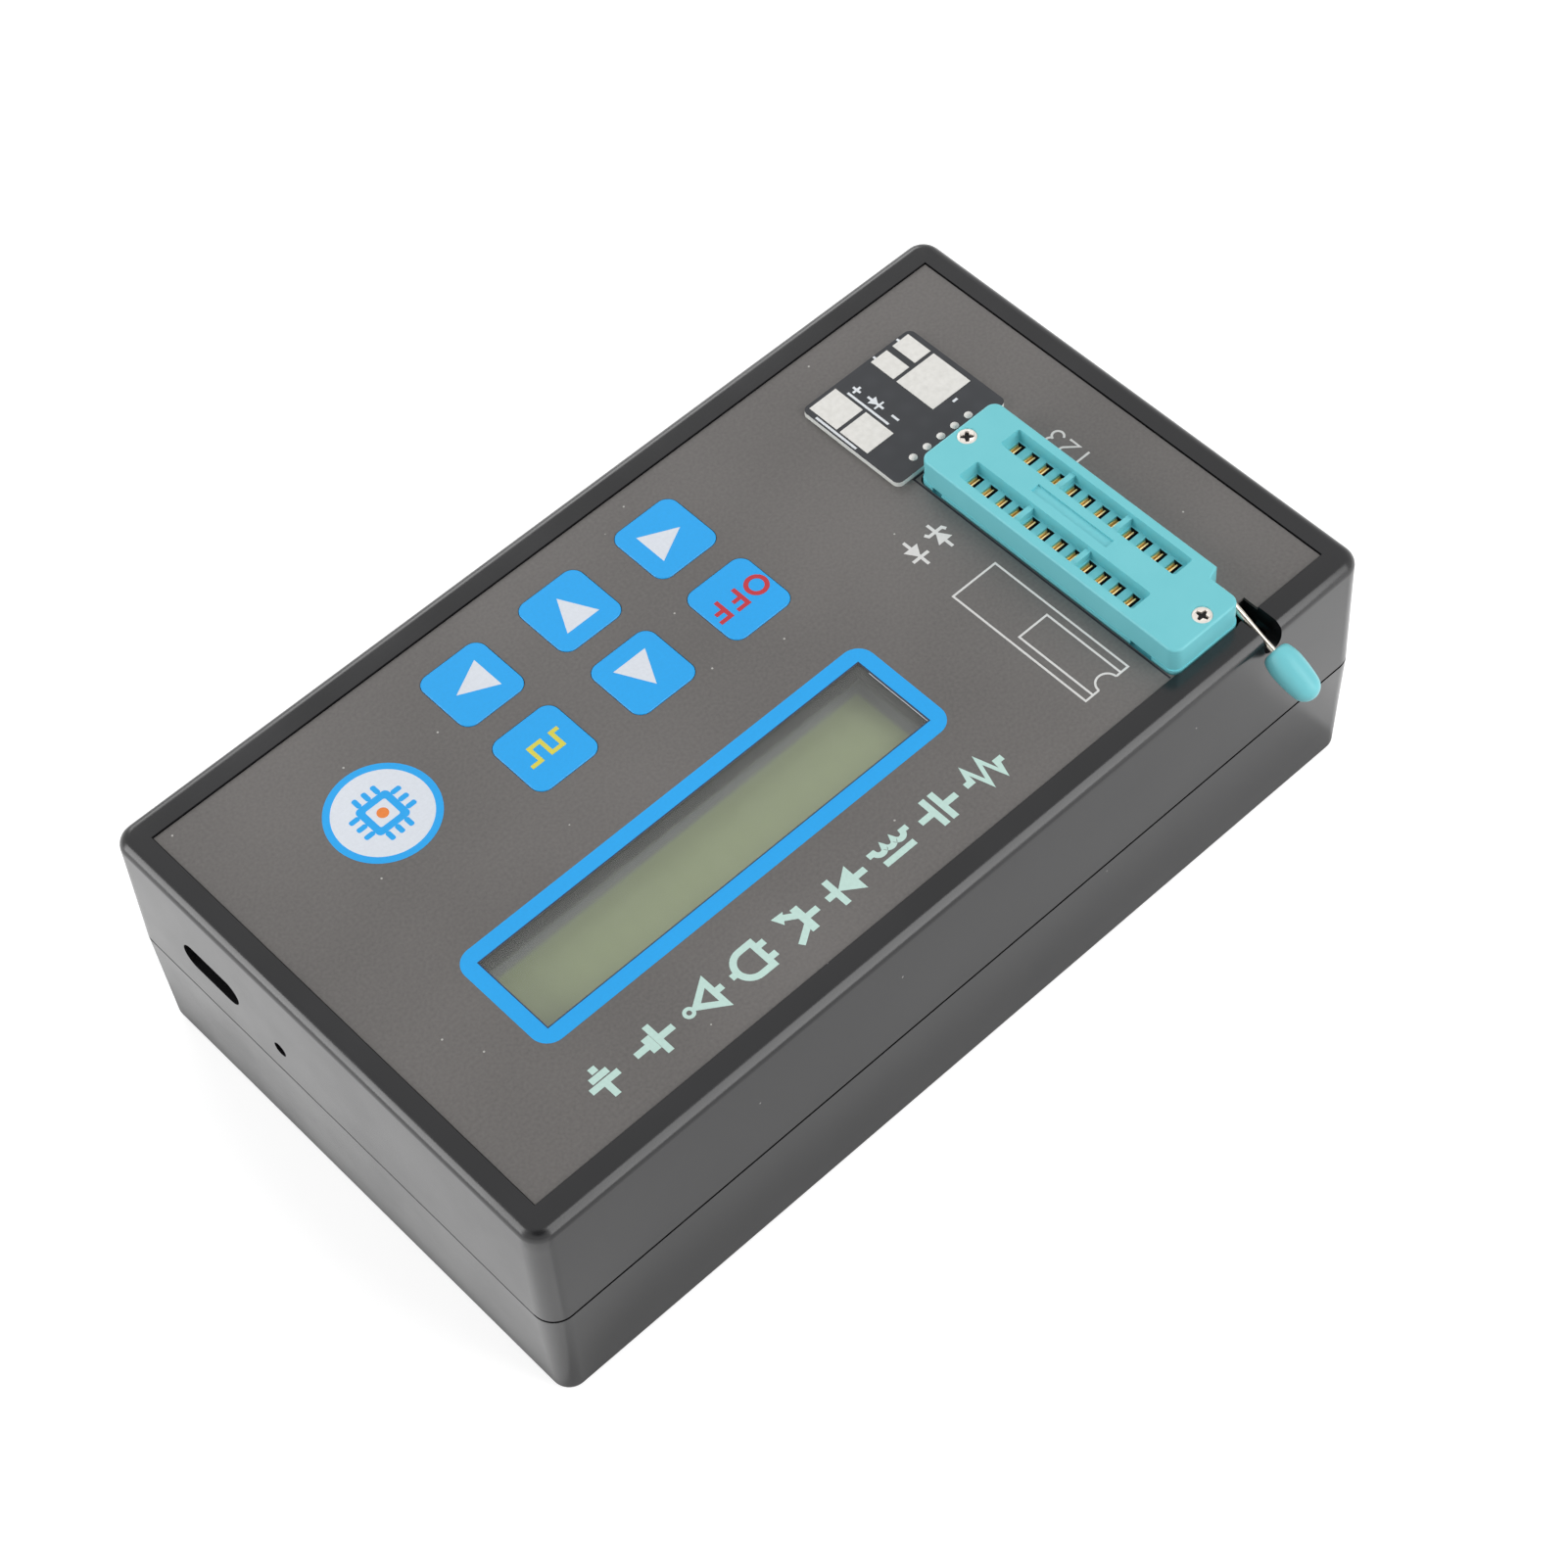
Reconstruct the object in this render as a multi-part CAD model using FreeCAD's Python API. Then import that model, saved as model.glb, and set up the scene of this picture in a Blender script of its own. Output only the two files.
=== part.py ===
import FreeCAD, Part
import math
import os

# Handheld component tester: a two-part moulded case with a printed panel film, six film keys,
# a character display behind a clear window and a lever-operated test socket.
# Millimetres. X runs to the user's right, Y away from the user, Z up from the resting face.

V = FreeCAD.Vector

# Case shells
case_length = 141.8
case_width = 81.3
case_height = 40.3
parting_height = 19.4
wall = 2.2
upper_draft = 0.25
lower_draft = 0.65
corner_radius = 3.2
inner_corner_radius = 1.5
top_edge_radius = 1.6
bottom_edge_radius = 1.2
floor_thickness = 2.5
shadow_gap = 0.45
tongue_height = 1.8
tongue_thickness = 1.0
tongue_fit = 0.12
cut_over = 1.0
join_depth = 0.2
tolerance = 1e-4

# Panel film in its recess
rim_end = 4.05
rim_side = 4.5
film_thickness = 0.5
film_below_rim = 0.25
film_gap = 0.15
plate_thickness = 2.5

# Case screws and their posts
post_inset = 6.6
post_radius = 3.7
case_screw_radius = 1.4
case_screw_head_radius = 2.7
case_screw_head_height = 2.0
case_screw_sink = 3.2
case_screw_reach = 10.0
case_screw_head_gap = 0.3
screw_fit = 0.06
screw_end_gap = 0.5
screw_head_bevel = 0.5
screw_cross_reach = 0.55
screw_cross_half = 0.12
screw_cross_depth = 0.5

# Main board and what fixes it
board_depth = 14.05
board_thickness = 1.6
board_margin = 1.2
board_corner_gap = 0.6
board_post_radius = 2.7
board_screw_radius = 1.1
board_screw_head_radius = 2.2
board_screw_head_height = 1.5
board_screw_reach = 6.0
board_post_edge_x = 9.4
board_post_y = 20.0
front_post_edge_x = 14.0
front_post_y = -12.0
rear_post_edge_x = 20.0
rear_post_edge_y = 6.5

# Display module
window_from_end = 52.54
window_from_edge = 27.87
window_length = 63.5
window_width = 12.9
plate_window_margin = 1.3
lcd_board_end = 4.4
lcd_board_side = 5.4
lcd_board_thickness = 1.6
lcd_hole_inset = 2.5
bezel_frame_end = 3.85
bezel_frame_side = 6.15
bezel_corner = 0.8
bezel_gap = 1.9
bezel_sheet = 0.5
bezel_window_margin = 0.8
glass_thickness = 2.2
glass_clearance = 0.3
header_pitch = 2.54
header_body = 2.54
header_pin = 0.64
header_hole = 0.9
header_pins = 16
header_inset = 1.8
header_from_end = 8.0
pin_below = 1.2
spacer_radius = 2.5
lcd_screw_radius = 1.2
lcd_screw_head_radius = 2.2
lcd_screw_head_height = 1.4
lcd_screw_end = 0.6
nut_flat = 5.0
nut_height = 1.8

# Film keys and their switches
key_size = 10.4
key_radius = 1.8
key_pitch_x = 16.55
key_pitch_y = 14.1
keys_from_end = 64.0
keys_from_edge = 21.7
key_gap = 0.08
key_proud = 0.1
key_edge = 0.08
key_travel = 0.3
key_plate_margin = 0.5
switch_size = 6.0
switch_height = 3.5
switch_edge = 0.5
plunger_radius = 1.75
plunger_depth = 1.6
plunger_fit = 0.08

# Test socket
socket_from_end = 24.2
nose_from_edge = 4.45
pin_pitch = 2.54
row_spacing = 7.62
pins_per_row = 12
pins_per_group = 4
cover_tail = 6.95
cover_nose = 10.8
cover_width = 13.9
cover_proud = 4.5
cover_skirt_above = 0.45
cover_corner = 1.5
cover_edge = 0.35
nose_step = 1.9
nose_step_run = 0.7
nose_step_from_end = 6.0
slot_width = 3.5
slot_depth = 1.8
slot_floor = 1.6
slot_back = 1.1
slot_front = 1.75
slot_draft = 0.25
slot_corner = 0.15
bar_thickness = 0.8
bar_height = 1.15
pocket_length = 2.5
pocket_width = 1.4
pocket_shift = 0.05
spine_recess_width = 1.5
spine_recess_length = 13.4
spine_recess_depth = 0.3
socket_wall = 1.1
nose_wall = 1.5
nose_room_back = 1.0
socket_screw_back = 1.85
socket_screw_front = 2.0
socket_screw_radius = 0.75
socket_screw_head = 1.35
socket_screw_cone = 0.6
socket_screw_sink = 0.12
socket_cross_reach = 0.8
socket_cross_half = 0.14
socket_cross_depth = 0.35
socket_boss_wall = 0.15
socket_bore_end = 0.5
base_ledge = 0.12
base_floor = 1.2
channel_back = 3.2
channel_front = 4.0
well_back = 0.95
well_front = 0.75
deck_below_rim = 0.8
skirt_notch_back = (2.55, 4.2)
skirt_notch_front = (38.1, 41.8)
skirt_notch_depth = 0.9
skirt_notch_in = 0.6
opening_gap = 0.35
film_opening_gap = 0.3
riser_height = 8.5
riser_width = 2.5
contact_width = 2.3
contact_sheet = 0.3
contact_offset = -0.4
contact_tip_below = 0.05
contact_bow = 0.22
contact_bow_below = 0.55
contact_bend_below = 1.3
contact_gap = 0.3
contact_leaf = 0.2
tail_width = 0.6
tail_length = 6.0
tail_fit = 0.12
tail_well = 0.5

# Socket lever, cam and slider
pivot_from_nose = 4.3
pivot_above_film = 1.8
lever_droop = 23.0
lever_swing = 105.0
shaft_radius = 0.6
shaft_fit = 0.05
lever_clearance = 0.28
lever_root_radius = 0.55
lever_tip_radius = 0.38
lever_bend = 0.9
cam_offset = 0.5
cam_radius = 0.9
cam_width = 1.2
cam_fit = 0.09
cam_wall_gap = 0.25
cam_side_gap = 0.3
cam_room_back = 3.0
slider_thickness = 1.3
slider_gap = 0.06
slider_half_width = 5.5
slider_rib = 0.64
slider_rib_front = 0.4
slider_window_gap = 0.1
slider_back = 2.1
slider_front = 1.6
neck_root = 1.0
fork_wall = 0.6
fork_height = 2.4
bearing_width = 1.2
saddle_back = 1.2
saddle_front = 0.72
bearing_gap = 0.05
bearing_below = 0.36
knob_start = 10.2
knob_length = 7.9
knob_radius = 2.33
knob_mouth_radius = 1.75
knob_mouth_edge = 0.95
knob_shoulder = 2.6
knob_nose_radius = 2.05
knob_grip = 5.2
knob_fit = 0.02
notch_side = 0.8
notch_start = 1.2
lever_room_front = 1.9
lever_room_under = 1.0
notch_width = 3.15
notch_depth = 3.9

# Adapter board for surface-mounted parts, lying on the film behind the socket
adapter_length = 18.45
adapter_width = 20.1
adapter_gap = 0.82
adapter_side = 3.1
adapter_thickness = 0.8
adapter_corner = 1.0
pad_thickness = 0.08
pad_edge = 0.9
pad_back = 0.6
pad_spacing = 0.6
small_pad_width = 2.95
small_pad_length = 4.3
large_pad = 6.95
twin_pad_width = 4.8
twin_pad_length = 5.25
solder_pitch = 2.54
solder_count = 5
solder_radius = 0.75
solder_height = 0.3
solder_crown = 0.4
solder_inset = 2.0
solder_side = 4.7
adapter_slot_margin = 0.3

# Charging socket and lamp at the right-hand end
usb_from_edge = 17.65
usb_slot_width = 11.0
usb_slot_height = 4.3
usb_width = 8.94
usb_height = 3.26
usb_length = 7.3
usb_sheet = 0.3
usb_recess = 2.4
usb_tongue_width = 6.7
usb_tongue_thickness = 0.7
usb_tongue_root = 5.4
usb_tongue_recess = 0.9
lamp_from_edge = 30.85
lamp_hole_radius = 1.1
lamp_width = 2.4
lamp_height = 1.6
lamp_length = 2.4
lamp_fit = 0.2
lamp_seat = 0.6
lamp_lens_radius = 0.9
lamp_lens_length = 0.6
lamp_lens_proud = 0.3

# Cell, holder and chips on the board's underside and top
cell_radius = 7.1
cell_length = 50.0
cell_nub_radius = 2.6
cell_nub_height = 1.2
cell_edge = 0.6
cell_fit = 0.15
cell_x = -5.0
cell_y = 12.8
cell_contact_half = 4.26
cell_spring_crown = 0.95
holder_wall = 1.6
holder_height = 13.0
holder_contact = 0.5
holder_spring = 3.0
chip_size = 10.0
chip_height = 1.4
chip_edge = 0.4
chip_standoff = 0.1
chip_leads = 11
chip_lead_pitch = 0.8
chip_lead_width = 0.35
chip_lead_reach = 1.0
chip_lead_sheet = 0.2
chip_lead_root = 0.2
chip_from_keys = 35.1
chip_from_crystal = 14.0
crystal_length = 11.0
crystal_width = 4.6
crystal_height = 3.5
crystal_gap = 0.5

# Heights worked out from the sizes above
film_top = case_height - film_below_rim
plate_top = film_top - film_thickness
plate_under = plate_top - plate_thickness
upper_bottom = parting_height + shadow_gap
board_top = film_top - board_depth
board_under = board_top - board_thickness
half_length = case_length / 2
half_width = case_width / 2

# Plan places measured from the case's ends and long sides
window_x = half_length - window_from_end
window_y = half_width - window_from_edge
keys_x = half_length - keys_from_end
keys_y = keys_from_edge - half_width
socket_x = socket_from_end - half_length
usb_y = usb_from_edge - half_width
lamp_y = lamp_from_edge - half_width
chip_x = keys_x + chip_from_keys
bezel_length = window_length + 2 * bezel_frame_end
bezel_width = window_width + 2 * bezel_frame_side
lcd_board_length = bezel_length + 2 * lcd_board_end
lcd_board_width = bezel_width + 2 * lcd_board_side
crystal_y = window_y - lcd_board_width / 2 - crystal_gap - crystal_width / 2
chip_y = crystal_y - chip_from_crystal

# Panel film outline
film_half_length = half_length - rim_end
film_half_width = half_width - rim_side

# Socket places
nose_y = half_width - nose_from_edge
last_pin_y = nose_y - cover_nose
first_pin_y = last_pin_y - (pins_per_row - 1) * pin_pitch
tail_y = first_pin_y - cover_tail
cover_left = socket_x - cover_width / 2
cover_right = socket_x + cover_width / 2
nose_left = cover_left + nose_step
cover_top = film_top + cover_proud
cover_bottom = film_top + cover_skirt_above
slot_floor_z = cover_top - slot_depth
slot_under = slot_floor_z - slot_floor
base_bottom = board_top + riser_height
deck_z = cover_bottom - deck_below_rim
slider_bottom = deck_z + slider_gap
slider_top = slider_bottom + slider_thickness
pivot_y = nose_y - pivot_from_nose
pivot_z = film_top + pivot_above_film
lever_x = nose_left - base_ledge - lever_clearance - lever_root_radius
tail_screw_y = tail_y + socket_screw_back
nose_screw_y = nose_y - socket_screw_front
row_xs = (socket_x - row_spacing / 2, socket_x + row_spacing / 2)
pin_ys = [first_pin_y + i * pin_pitch for i in range(pins_per_row)]
cam_angle = math.radians(270.0 - lever_swing / 2)
cam_y = pivot_y + cam_offset * math.cos(cam_angle)
cam_z = pivot_z + cam_offset * math.sin(cam_angle)
slider_travel = 2 * cam_offset * math.sin(math.radians(lever_swing / 2))
cam_x = nose_left + socket_wall + cam_wall_gap + cam_width / 2

# Key places, named as the user sees them
key_places = {
    "left_key": (-1, -1),
    "down_key": (0, -1),
    "right_key": (1, -1),
    "off_key": (-1, 1),
    "up_key": (0, 1),
    "test_key": (1, 1),
}

nodes = {}


def block(x0, x1, y0, y1, z0, z1):
    """Box between two corners."""
    return Part.makeBox(x1 - x0, y1 - y0, z1 - z0, V(x0, y0, z0))


def post(x, y, z0, z1, radius):
    """Upright cylinder."""
    return Part.makeCylinder(radius, z1 - z0, V(x, y, z0))


def rounded_wire(x0, x1, y0, y1, radius, z):
    """Rectangle with round corners at height z."""
    r = radius
    c = r * (1 - math.sqrt(0.5))
    straight = [
        (V(x0 + r, y0, z), V(x1 - r, y0, z)),
        (V(x1, y0 + r, z), V(x1, y1 - r, z)),
        (V(x1 - r, y1, z), V(x0 + r, y1, z)),
        (V(x0, y1 - r, z), V(x0, y0 + r, z)),
    ]
    middles = [V(x1 - c, y0 + c, z), V(x1 - c, y1 - c, z), V(x0 + c, y1 - c, z), V(x0 + c, y0 + c, z)]
    edges = []
    for i in range(4):
        start, end = straight[i]
        edges.append(Part.LineSegment(start, end).toShape())
        edges.append(Part.Arc(end, middles[i], straight[(i + 1) % 4][0]).toShape())
    return Part.Wire(edges)


def rounded_block(x0, x1, y0, y1, radius, z0, z1):
    """Plate with round corners."""
    return Part.Face(rounded_wire(x0, x1, y0, y1, radius, z0)).extrude(V(0, 0, z1 - z0))


def drafted(half_x, half_y, radius, z0, inset, z1):
    """Round-cornered prism about the Z axis whose walls and corners lean in by inset at z1."""
    cx, cy = half_x - radius, half_y - radius
    x1, y1 = half_x - inset, half_y - inset
    along = [V(-half_x, -cy, z0), V(half_x, -cy, z0), V(x1, -cy, z1), V(-x1, -cy, z1)]
    across = [V(-cx, -half_y, z0), V(-cx, half_y, z0), V(-cx, y1, z1), V(-cx, -y1, z1)]
    pieces = [polygon(along, V(0, 2 * cy, 0)), polygon(across, V(2 * cx, 0, 0))]
    for sx in (-1, 1):
        for sy in (-1, 1):
            pieces.append(Part.makeCone(radius, radius - inset, z1 - z0, V(sx * cx, sy * cy, z0)))
    return fused(pieces)


def polygon(points, depth):
    """Flat outline through the points, extruded by the vector depth."""
    return Part.Face(Part.makePolygon(points + [points[0]])).extrude(depth)


def edges_at(shape, z):
    """Edges that lie wholly at height z."""
    return [e for e in shape.Edges if all(abs(v.Z - z) < tolerance for v in e.Vertexes)]


def upright_edges(shape):
    """Edges that stand on end."""
    found = []
    for e in shape.Edges:
        a, b = e.Vertexes[0], e.Vertexes[-1]
        if abs(a.X - b.X) + abs(a.Y - b.Y) < tolerance < abs(a.Z - b.Z):
            found.append(e)
    return found


def upright_edge(shape, x, y):
    """Upright edges of the shape through a plan point."""
    ends = [(e, e.Vertexes[0]) for e in upright_edges(shape)]
    return [e for e, end in ends if abs(end.X - x) + abs(end.Y - y) < tolerance]


def fused(shapes):
    """One solid from touching or overlapping shapes."""
    return shapes[0].multiFuse(shapes[1:]).removeSplitter()


def pan_screw(x, y, seat, tip, head_radius, head_height, shank_radius):
    """Round-headed screw whose head bears on the height seat and whose shank ends at tip."""
    way = 1 if seat > tip else -1
    face = seat + way * head_height
    head = Part.makeCylinder(head_radius, head_height, V(x, y, seat), V(0, 0, way))
    head = head.makeChamfer(head_height * screw_head_bevel, edges_at(head, face))
    arm, half = head_radius * screw_cross_reach, head_radius * screw_cross_half
    low, high = sorted((face, face - way * head_height * screw_cross_depth))
    cross = [
        block(x - arm, x + arm, y - half, y + half, low, high),
        block(x - half, x + half, y - arm, y + arm, low, high),
    ]
    shank = post(x, y, min(seat, tip), max(seat, tip), shank_radius)
    return head.fuse(shank).removeSplitter().cut(Part.makeCompound(cross))


# Places shared by several pieces

post_places = [
    (sx * (half_length - post_inset), sy * (half_width - post_inset)) for sx in (-1, 1) for sy in (-1, 1)
]
board_posts = [
    (-half_length + board_post_edge_x, -board_post_y),
    (-half_length + board_post_edge_x, board_post_y),
    (half_length - front_post_edge_x, front_post_y),
    (half_length - rear_post_edge_x, half_width - rear_post_edge_y),
]
lcd_holes = [
    (
        window_x + sx * (lcd_board_length / 2 - lcd_hole_inset),
        window_y + sy * (lcd_board_width / 2 - lcd_hole_inset),
    )
    for sx in (-1, 1)
    for sy in (-1, 1)
]
lcd_bottom = board_top + header_body
lcd_top = lcd_bottom + lcd_board_thickness
bezel_top = plate_under - bezel_gap
header_y = window_y + lcd_board_width / 2 - header_inset
header_x0 = window_x - lcd_board_length / 2 + header_from_end
header_xs = [header_x0 + i * header_pitch for i in range(header_pins)]
adapter_right = cover_right + adapter_side
adapter_left = adapter_right - adapter_width
adapter_front = tail_y - adapter_gap
adapter_back = adapter_front - adapter_length
adapter_top = film_top + adapter_thickness
solder_xs = [adapter_right - solder_side - i * solder_pitch for i in range(solder_count)]
solder_y = adapter_front - solder_inset
usb_z = board_top + usb_height / 2
usb_mouth = half_length - usb_recess
board_right = half_length - wall - board_margin
case_screw_top = parting_height + case_screw_reach
board_screw_top = board_top + board_screw_reach
lamp_z = board_top - board_thickness / 2


def key_centre(name):
    """Plan position of a key."""
    column, row = key_places[name]
    return keys_x + column * key_pitch_x, keys_y + row * key_pitch_y / 2


def socket_outline(grow, z0, z1):
    """Socket body in plan, with the stepped nose, grown all round."""
    left, right = cover_left - grow, cover_right + grow
    nose = nose_left - grow
    step_y = nose_y - nose_step_from_end
    points = [
        V(right, tail_y - grow, z0),
        V(right, nose_y + grow, z0),
        V(nose, nose_y + grow, z0),
        V(nose, step_y + nose_step_run + grow, z0),
        V(left, step_y + grow, z0),
        V(left, tail_y - grow, z0),
    ]
    solid = polygon(points, V(0, 0, z1 - z0))
    rounds = []
    for p in (points[0], points[1], points[2], points[5]):
        rounds += upright_edge(solid, p.x, p.y)
    return solid.makeFillet(cover_corner, rounds)


def notch_sides():
    """Left and right of the room for the lever arm."""
    right = lever_x + notch_side
    return right - notch_width, right


def lever_channel(z0, z1):
    """Room beside the socket's nose, up to the rim, where the lever arm dips below the film."""
    left = notch_sides()[0]
    start = pivot_y + lever_room_front
    return block(left, nose_left + lever_room_under, start, film_half_width + film_gap, z0, z1)


def wall_notch():
    """Round-bottomed notch through the rim and wall where the arm leaves the case."""
    left, right = notch_sides()
    radius = notch_width / 2
    start = nose_y - notch_start
    end = half_width + cut_over
    floor = case_height - notch_depth + radius
    round_part = Part.makeCylinder(radius, end - start, V(left + radius, start, floor), V(0, 1, 0))
    return round_part.fuse(block(left, right, start, end, floor, case_height + cut_over))


def panel_openings(gap, socket_gap, window_margin, z0, z1):
    """Cut-outs of the film or the top plate between two heights."""
    cuts = []
    for name in key_places:
        x, y = key_centre(name)
        h = key_size / 2 + gap
        cuts.append(rounded_block(x - h, x + h, y - h, y + h, key_radius + gap, z0, z1))
    cuts.append(
        block(
            window_x - window_length / 2 - window_margin,
            window_x + window_length / 2 + window_margin,
            window_y - window_width / 2 - window_margin,
            window_y + window_width / 2 + window_margin,
            z0,
            z1,
        )
    )
    cuts.append(socket_outline(socket_gap, z0, z1))
    cuts.append(lever_channel(z0, z1))
    m = header_pin / 2 + adapter_slot_margin
    cuts.append(block(solder_xs[-1] - m, solder_xs[0] + m, solder_y - m, solder_y + m, z0, z1))
    return cuts


def stadium(x0, x1, y, z, width, height):
    """Round-ended bar along X, as wide in Y and tall in Z as given."""
    r = height / 2
    h = width / 2 - r
    edges = [
        Part.LineSegment(V(x0, y - h, z - r), V(x0, y + h, z - r)).toShape(),
        Part.Arc(V(x0, y + h, z - r), V(x0, y + h + r, z), V(x0, y + h, z + r)).toShape(),
        Part.LineSegment(V(x0, y + h, z + r), V(x0, y - h, z + r)).toShape(),
        Part.Arc(V(x0, y - h, z + r), V(x0, y - h - r, z), V(x0, y - h, z - r)).toShape(),
    ]
    return Part.Face(Part.Wire(edges)).extrude(V(x1 - x0, 0, 0))


def inset_block(inset, radius, z0, z1):
    """Plate whose sides lie inside the case outline by inset."""
    x, y = half_length - inset, half_width - inset
    return rounded_block(-x, x, -y, y, radius, z0, z1)


def upper_shell():
    """Upper shell: rim, film recess, top plate, posts and the openings in its walls."""
    shell = drafted(half_length, half_width, corner_radius, upper_bottom, upper_draft, case_height)
    shell = shell.makeFillet(top_edge_radius, edges_at(shell, case_height))
    inner_x, inner_y = half_length - wall, half_width - wall
    hollow = drafted(inner_x, inner_y, inner_corner_radius, upper_bottom, upper_draft, plate_under)
    shell = shell.cut(hollow)
    rebate = wall - tongue_thickness - tongue_fit
    rebate_top = parting_height + tongue_height + tongue_fit
    shell = shell.cut(inset_block(rebate, corner_radius - rebate, upper_bottom, rebate_top))
    for x, y in post_places:
        shell = shell.fuse(post(x, y, parting_height, plate_under, post_radius))
    for x, y in board_posts:
        shell = shell.fuse(post(x, y, board_top, plate_under, board_post_radius))
    case_bore = case_screw_radius + screw_fit
    board_bore = board_screw_radius + screw_fit
    cuts = [post(x, y, parting_height, case_screw_top, case_bore) for x, y in post_places]
    cuts += [post(x, y, board_top, board_screw_top, board_bore) for x, y in board_posts]
    fx, fy = film_half_length + film_gap, film_half_width + film_gap
    cuts.append(block(-fx, fx, -fy, fy, plate_top, case_height + cut_over))
    low, high = plate_under - cut_over, plate_top + cut_over
    cuts += panel_openings(key_plate_margin, opening_gap, plate_window_margin, low, high)
    cuts.append(wall_notch())
    inside, outside = half_length - 2 * wall, half_length + cut_over
    cuts.append(stadium(inside, outside, usb_y, usb_z, usb_slot_width, usb_slot_height))
    lamp_start = V(inside, lamp_y, lamp_z)
    cuts.append(Part.makeCylinder(lamp_hole_radius, outside - inside, lamp_start, V(1, 0, 0)))
    return shell.cut(Part.makeCompound(cuts)).removeSplitter()


def lower_shell():
    """Lower shell: drafted wall, tongue into the upper shell and posts with sunk screw holes."""
    foot_x, foot_y = half_length - lower_draft, half_width - lower_draft
    foot_radius = corner_radius - lower_draft
    shell = drafted(foot_x, foot_y, foot_radius, 0.0, -lower_draft, parting_height)
    shell = shell.makeFillet(bottom_edge_radius, edges_at(shell, 0.0))
    inner_x, inner_y = foot_x - wall, foot_y - wall
    inner_radius = inner_corner_radius - lower_draft
    hollow = drafted(inner_x, inner_y, inner_radius, floor_thickness, -lower_draft, parting_height)
    shell = shell.cut(hollow)
    outer = wall - tongue_thickness
    tongue_top = parting_height + tongue_height
    tongue = inset_block(outer, corner_radius - outer, parting_height, tongue_top)
    room = [inset_block(wall, inner_corner_radius, parting_height, tongue_top)]
    room += [post(x, y, parting_height, tongue_top, post_radius + tongue_fit) for x, y in post_places]
    shell = shell.fuse(tongue.cut(Part.makeCompound(room)))
    cuts = []
    for x, y in post_places:
        shell = shell.fuse(post(x, y, floor_thickness / 2, parting_height, post_radius))
        cuts.append(post(x, y, -cut_over, parting_height + cut_over, case_screw_radius + screw_fit))
        cuts.append(post(x, y, -cut_over, case_screw_sink, case_screw_head_radius + case_screw_head_gap))
    return shell.cut(Part.makeCompound(cuts)).removeSplitter()


def make_case():
    """Upper and lower shells with their posts, and the four long screws from below."""
    nodes["top_shell"] = upper_shell()
    nodes["bottom_shell"] = lower_shell()
    tip = case_screw_top - screw_end_gap
    head = (case_screw_head_radius, case_screw_head_height, case_screw_radius)
    screws = [pan_screw(x, y, case_screw_sink, tip, *head) for x, y in post_places]
    nodes["case_screws"] = Part.makeCompound(screws)


def make_panel():
    """Printed film, its clear display window and the six key pads with their switches."""
    fx, fy = film_half_length, film_half_width
    film = block(-fx, fx, -fy, fy, plate_top, film_top)
    cuts = panel_openings(key_gap, film_opening_gap, 0.0, plate_top - cut_over, film_top + cut_over)
    cuts.append(wall_notch())
    nodes["panel_overlay"] = film.cut(Part.makeCompound(cuts)).removeSplitter()
    nodes["lcd_window"] = block(
        window_x - window_length / 2,
        window_x + window_length / 2,
        window_y - window_width / 2,
        window_y + window_width / 2,
        plate_top,
        film_top,
    )
    bodies = []
    for name in key_places:
        x, y = key_centre(name)
        h = key_size / 2
        pad_top = film_top + key_proud
        pad = rounded_block(x - h, x + h, y - h, y + h, key_radius, plate_top, pad_top)
        nodes[name] = pad.makeChamfer(key_edge, edges_at(pad, pad_top))
        s = switch_size / 2
        top = board_top + switch_height
        body = block(x - s, x + s, y - s, y + s, board_top, top)
        body = body.makeChamfer(switch_edge, upright_edges(body))
        well = post(x, y, top - plunger_depth - 2 * key_travel, top, plunger_radius + plunger_fit)
        bodies.append(body.cut(well))
        nodes[name.replace("key", "plunger")] = post(x, y, top - plunger_depth, plate_top, plunger_radius)
    nodes["switch_bodies"] = Part.makeCompound(bodies)


def square_pins(places, z0, z1, size):
    """Square pins or square holes standing at plan places."""
    h = size / 2
    return [block(x - h, x + h, y - h, y + h, z0, z1) for x, y in places]


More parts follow.
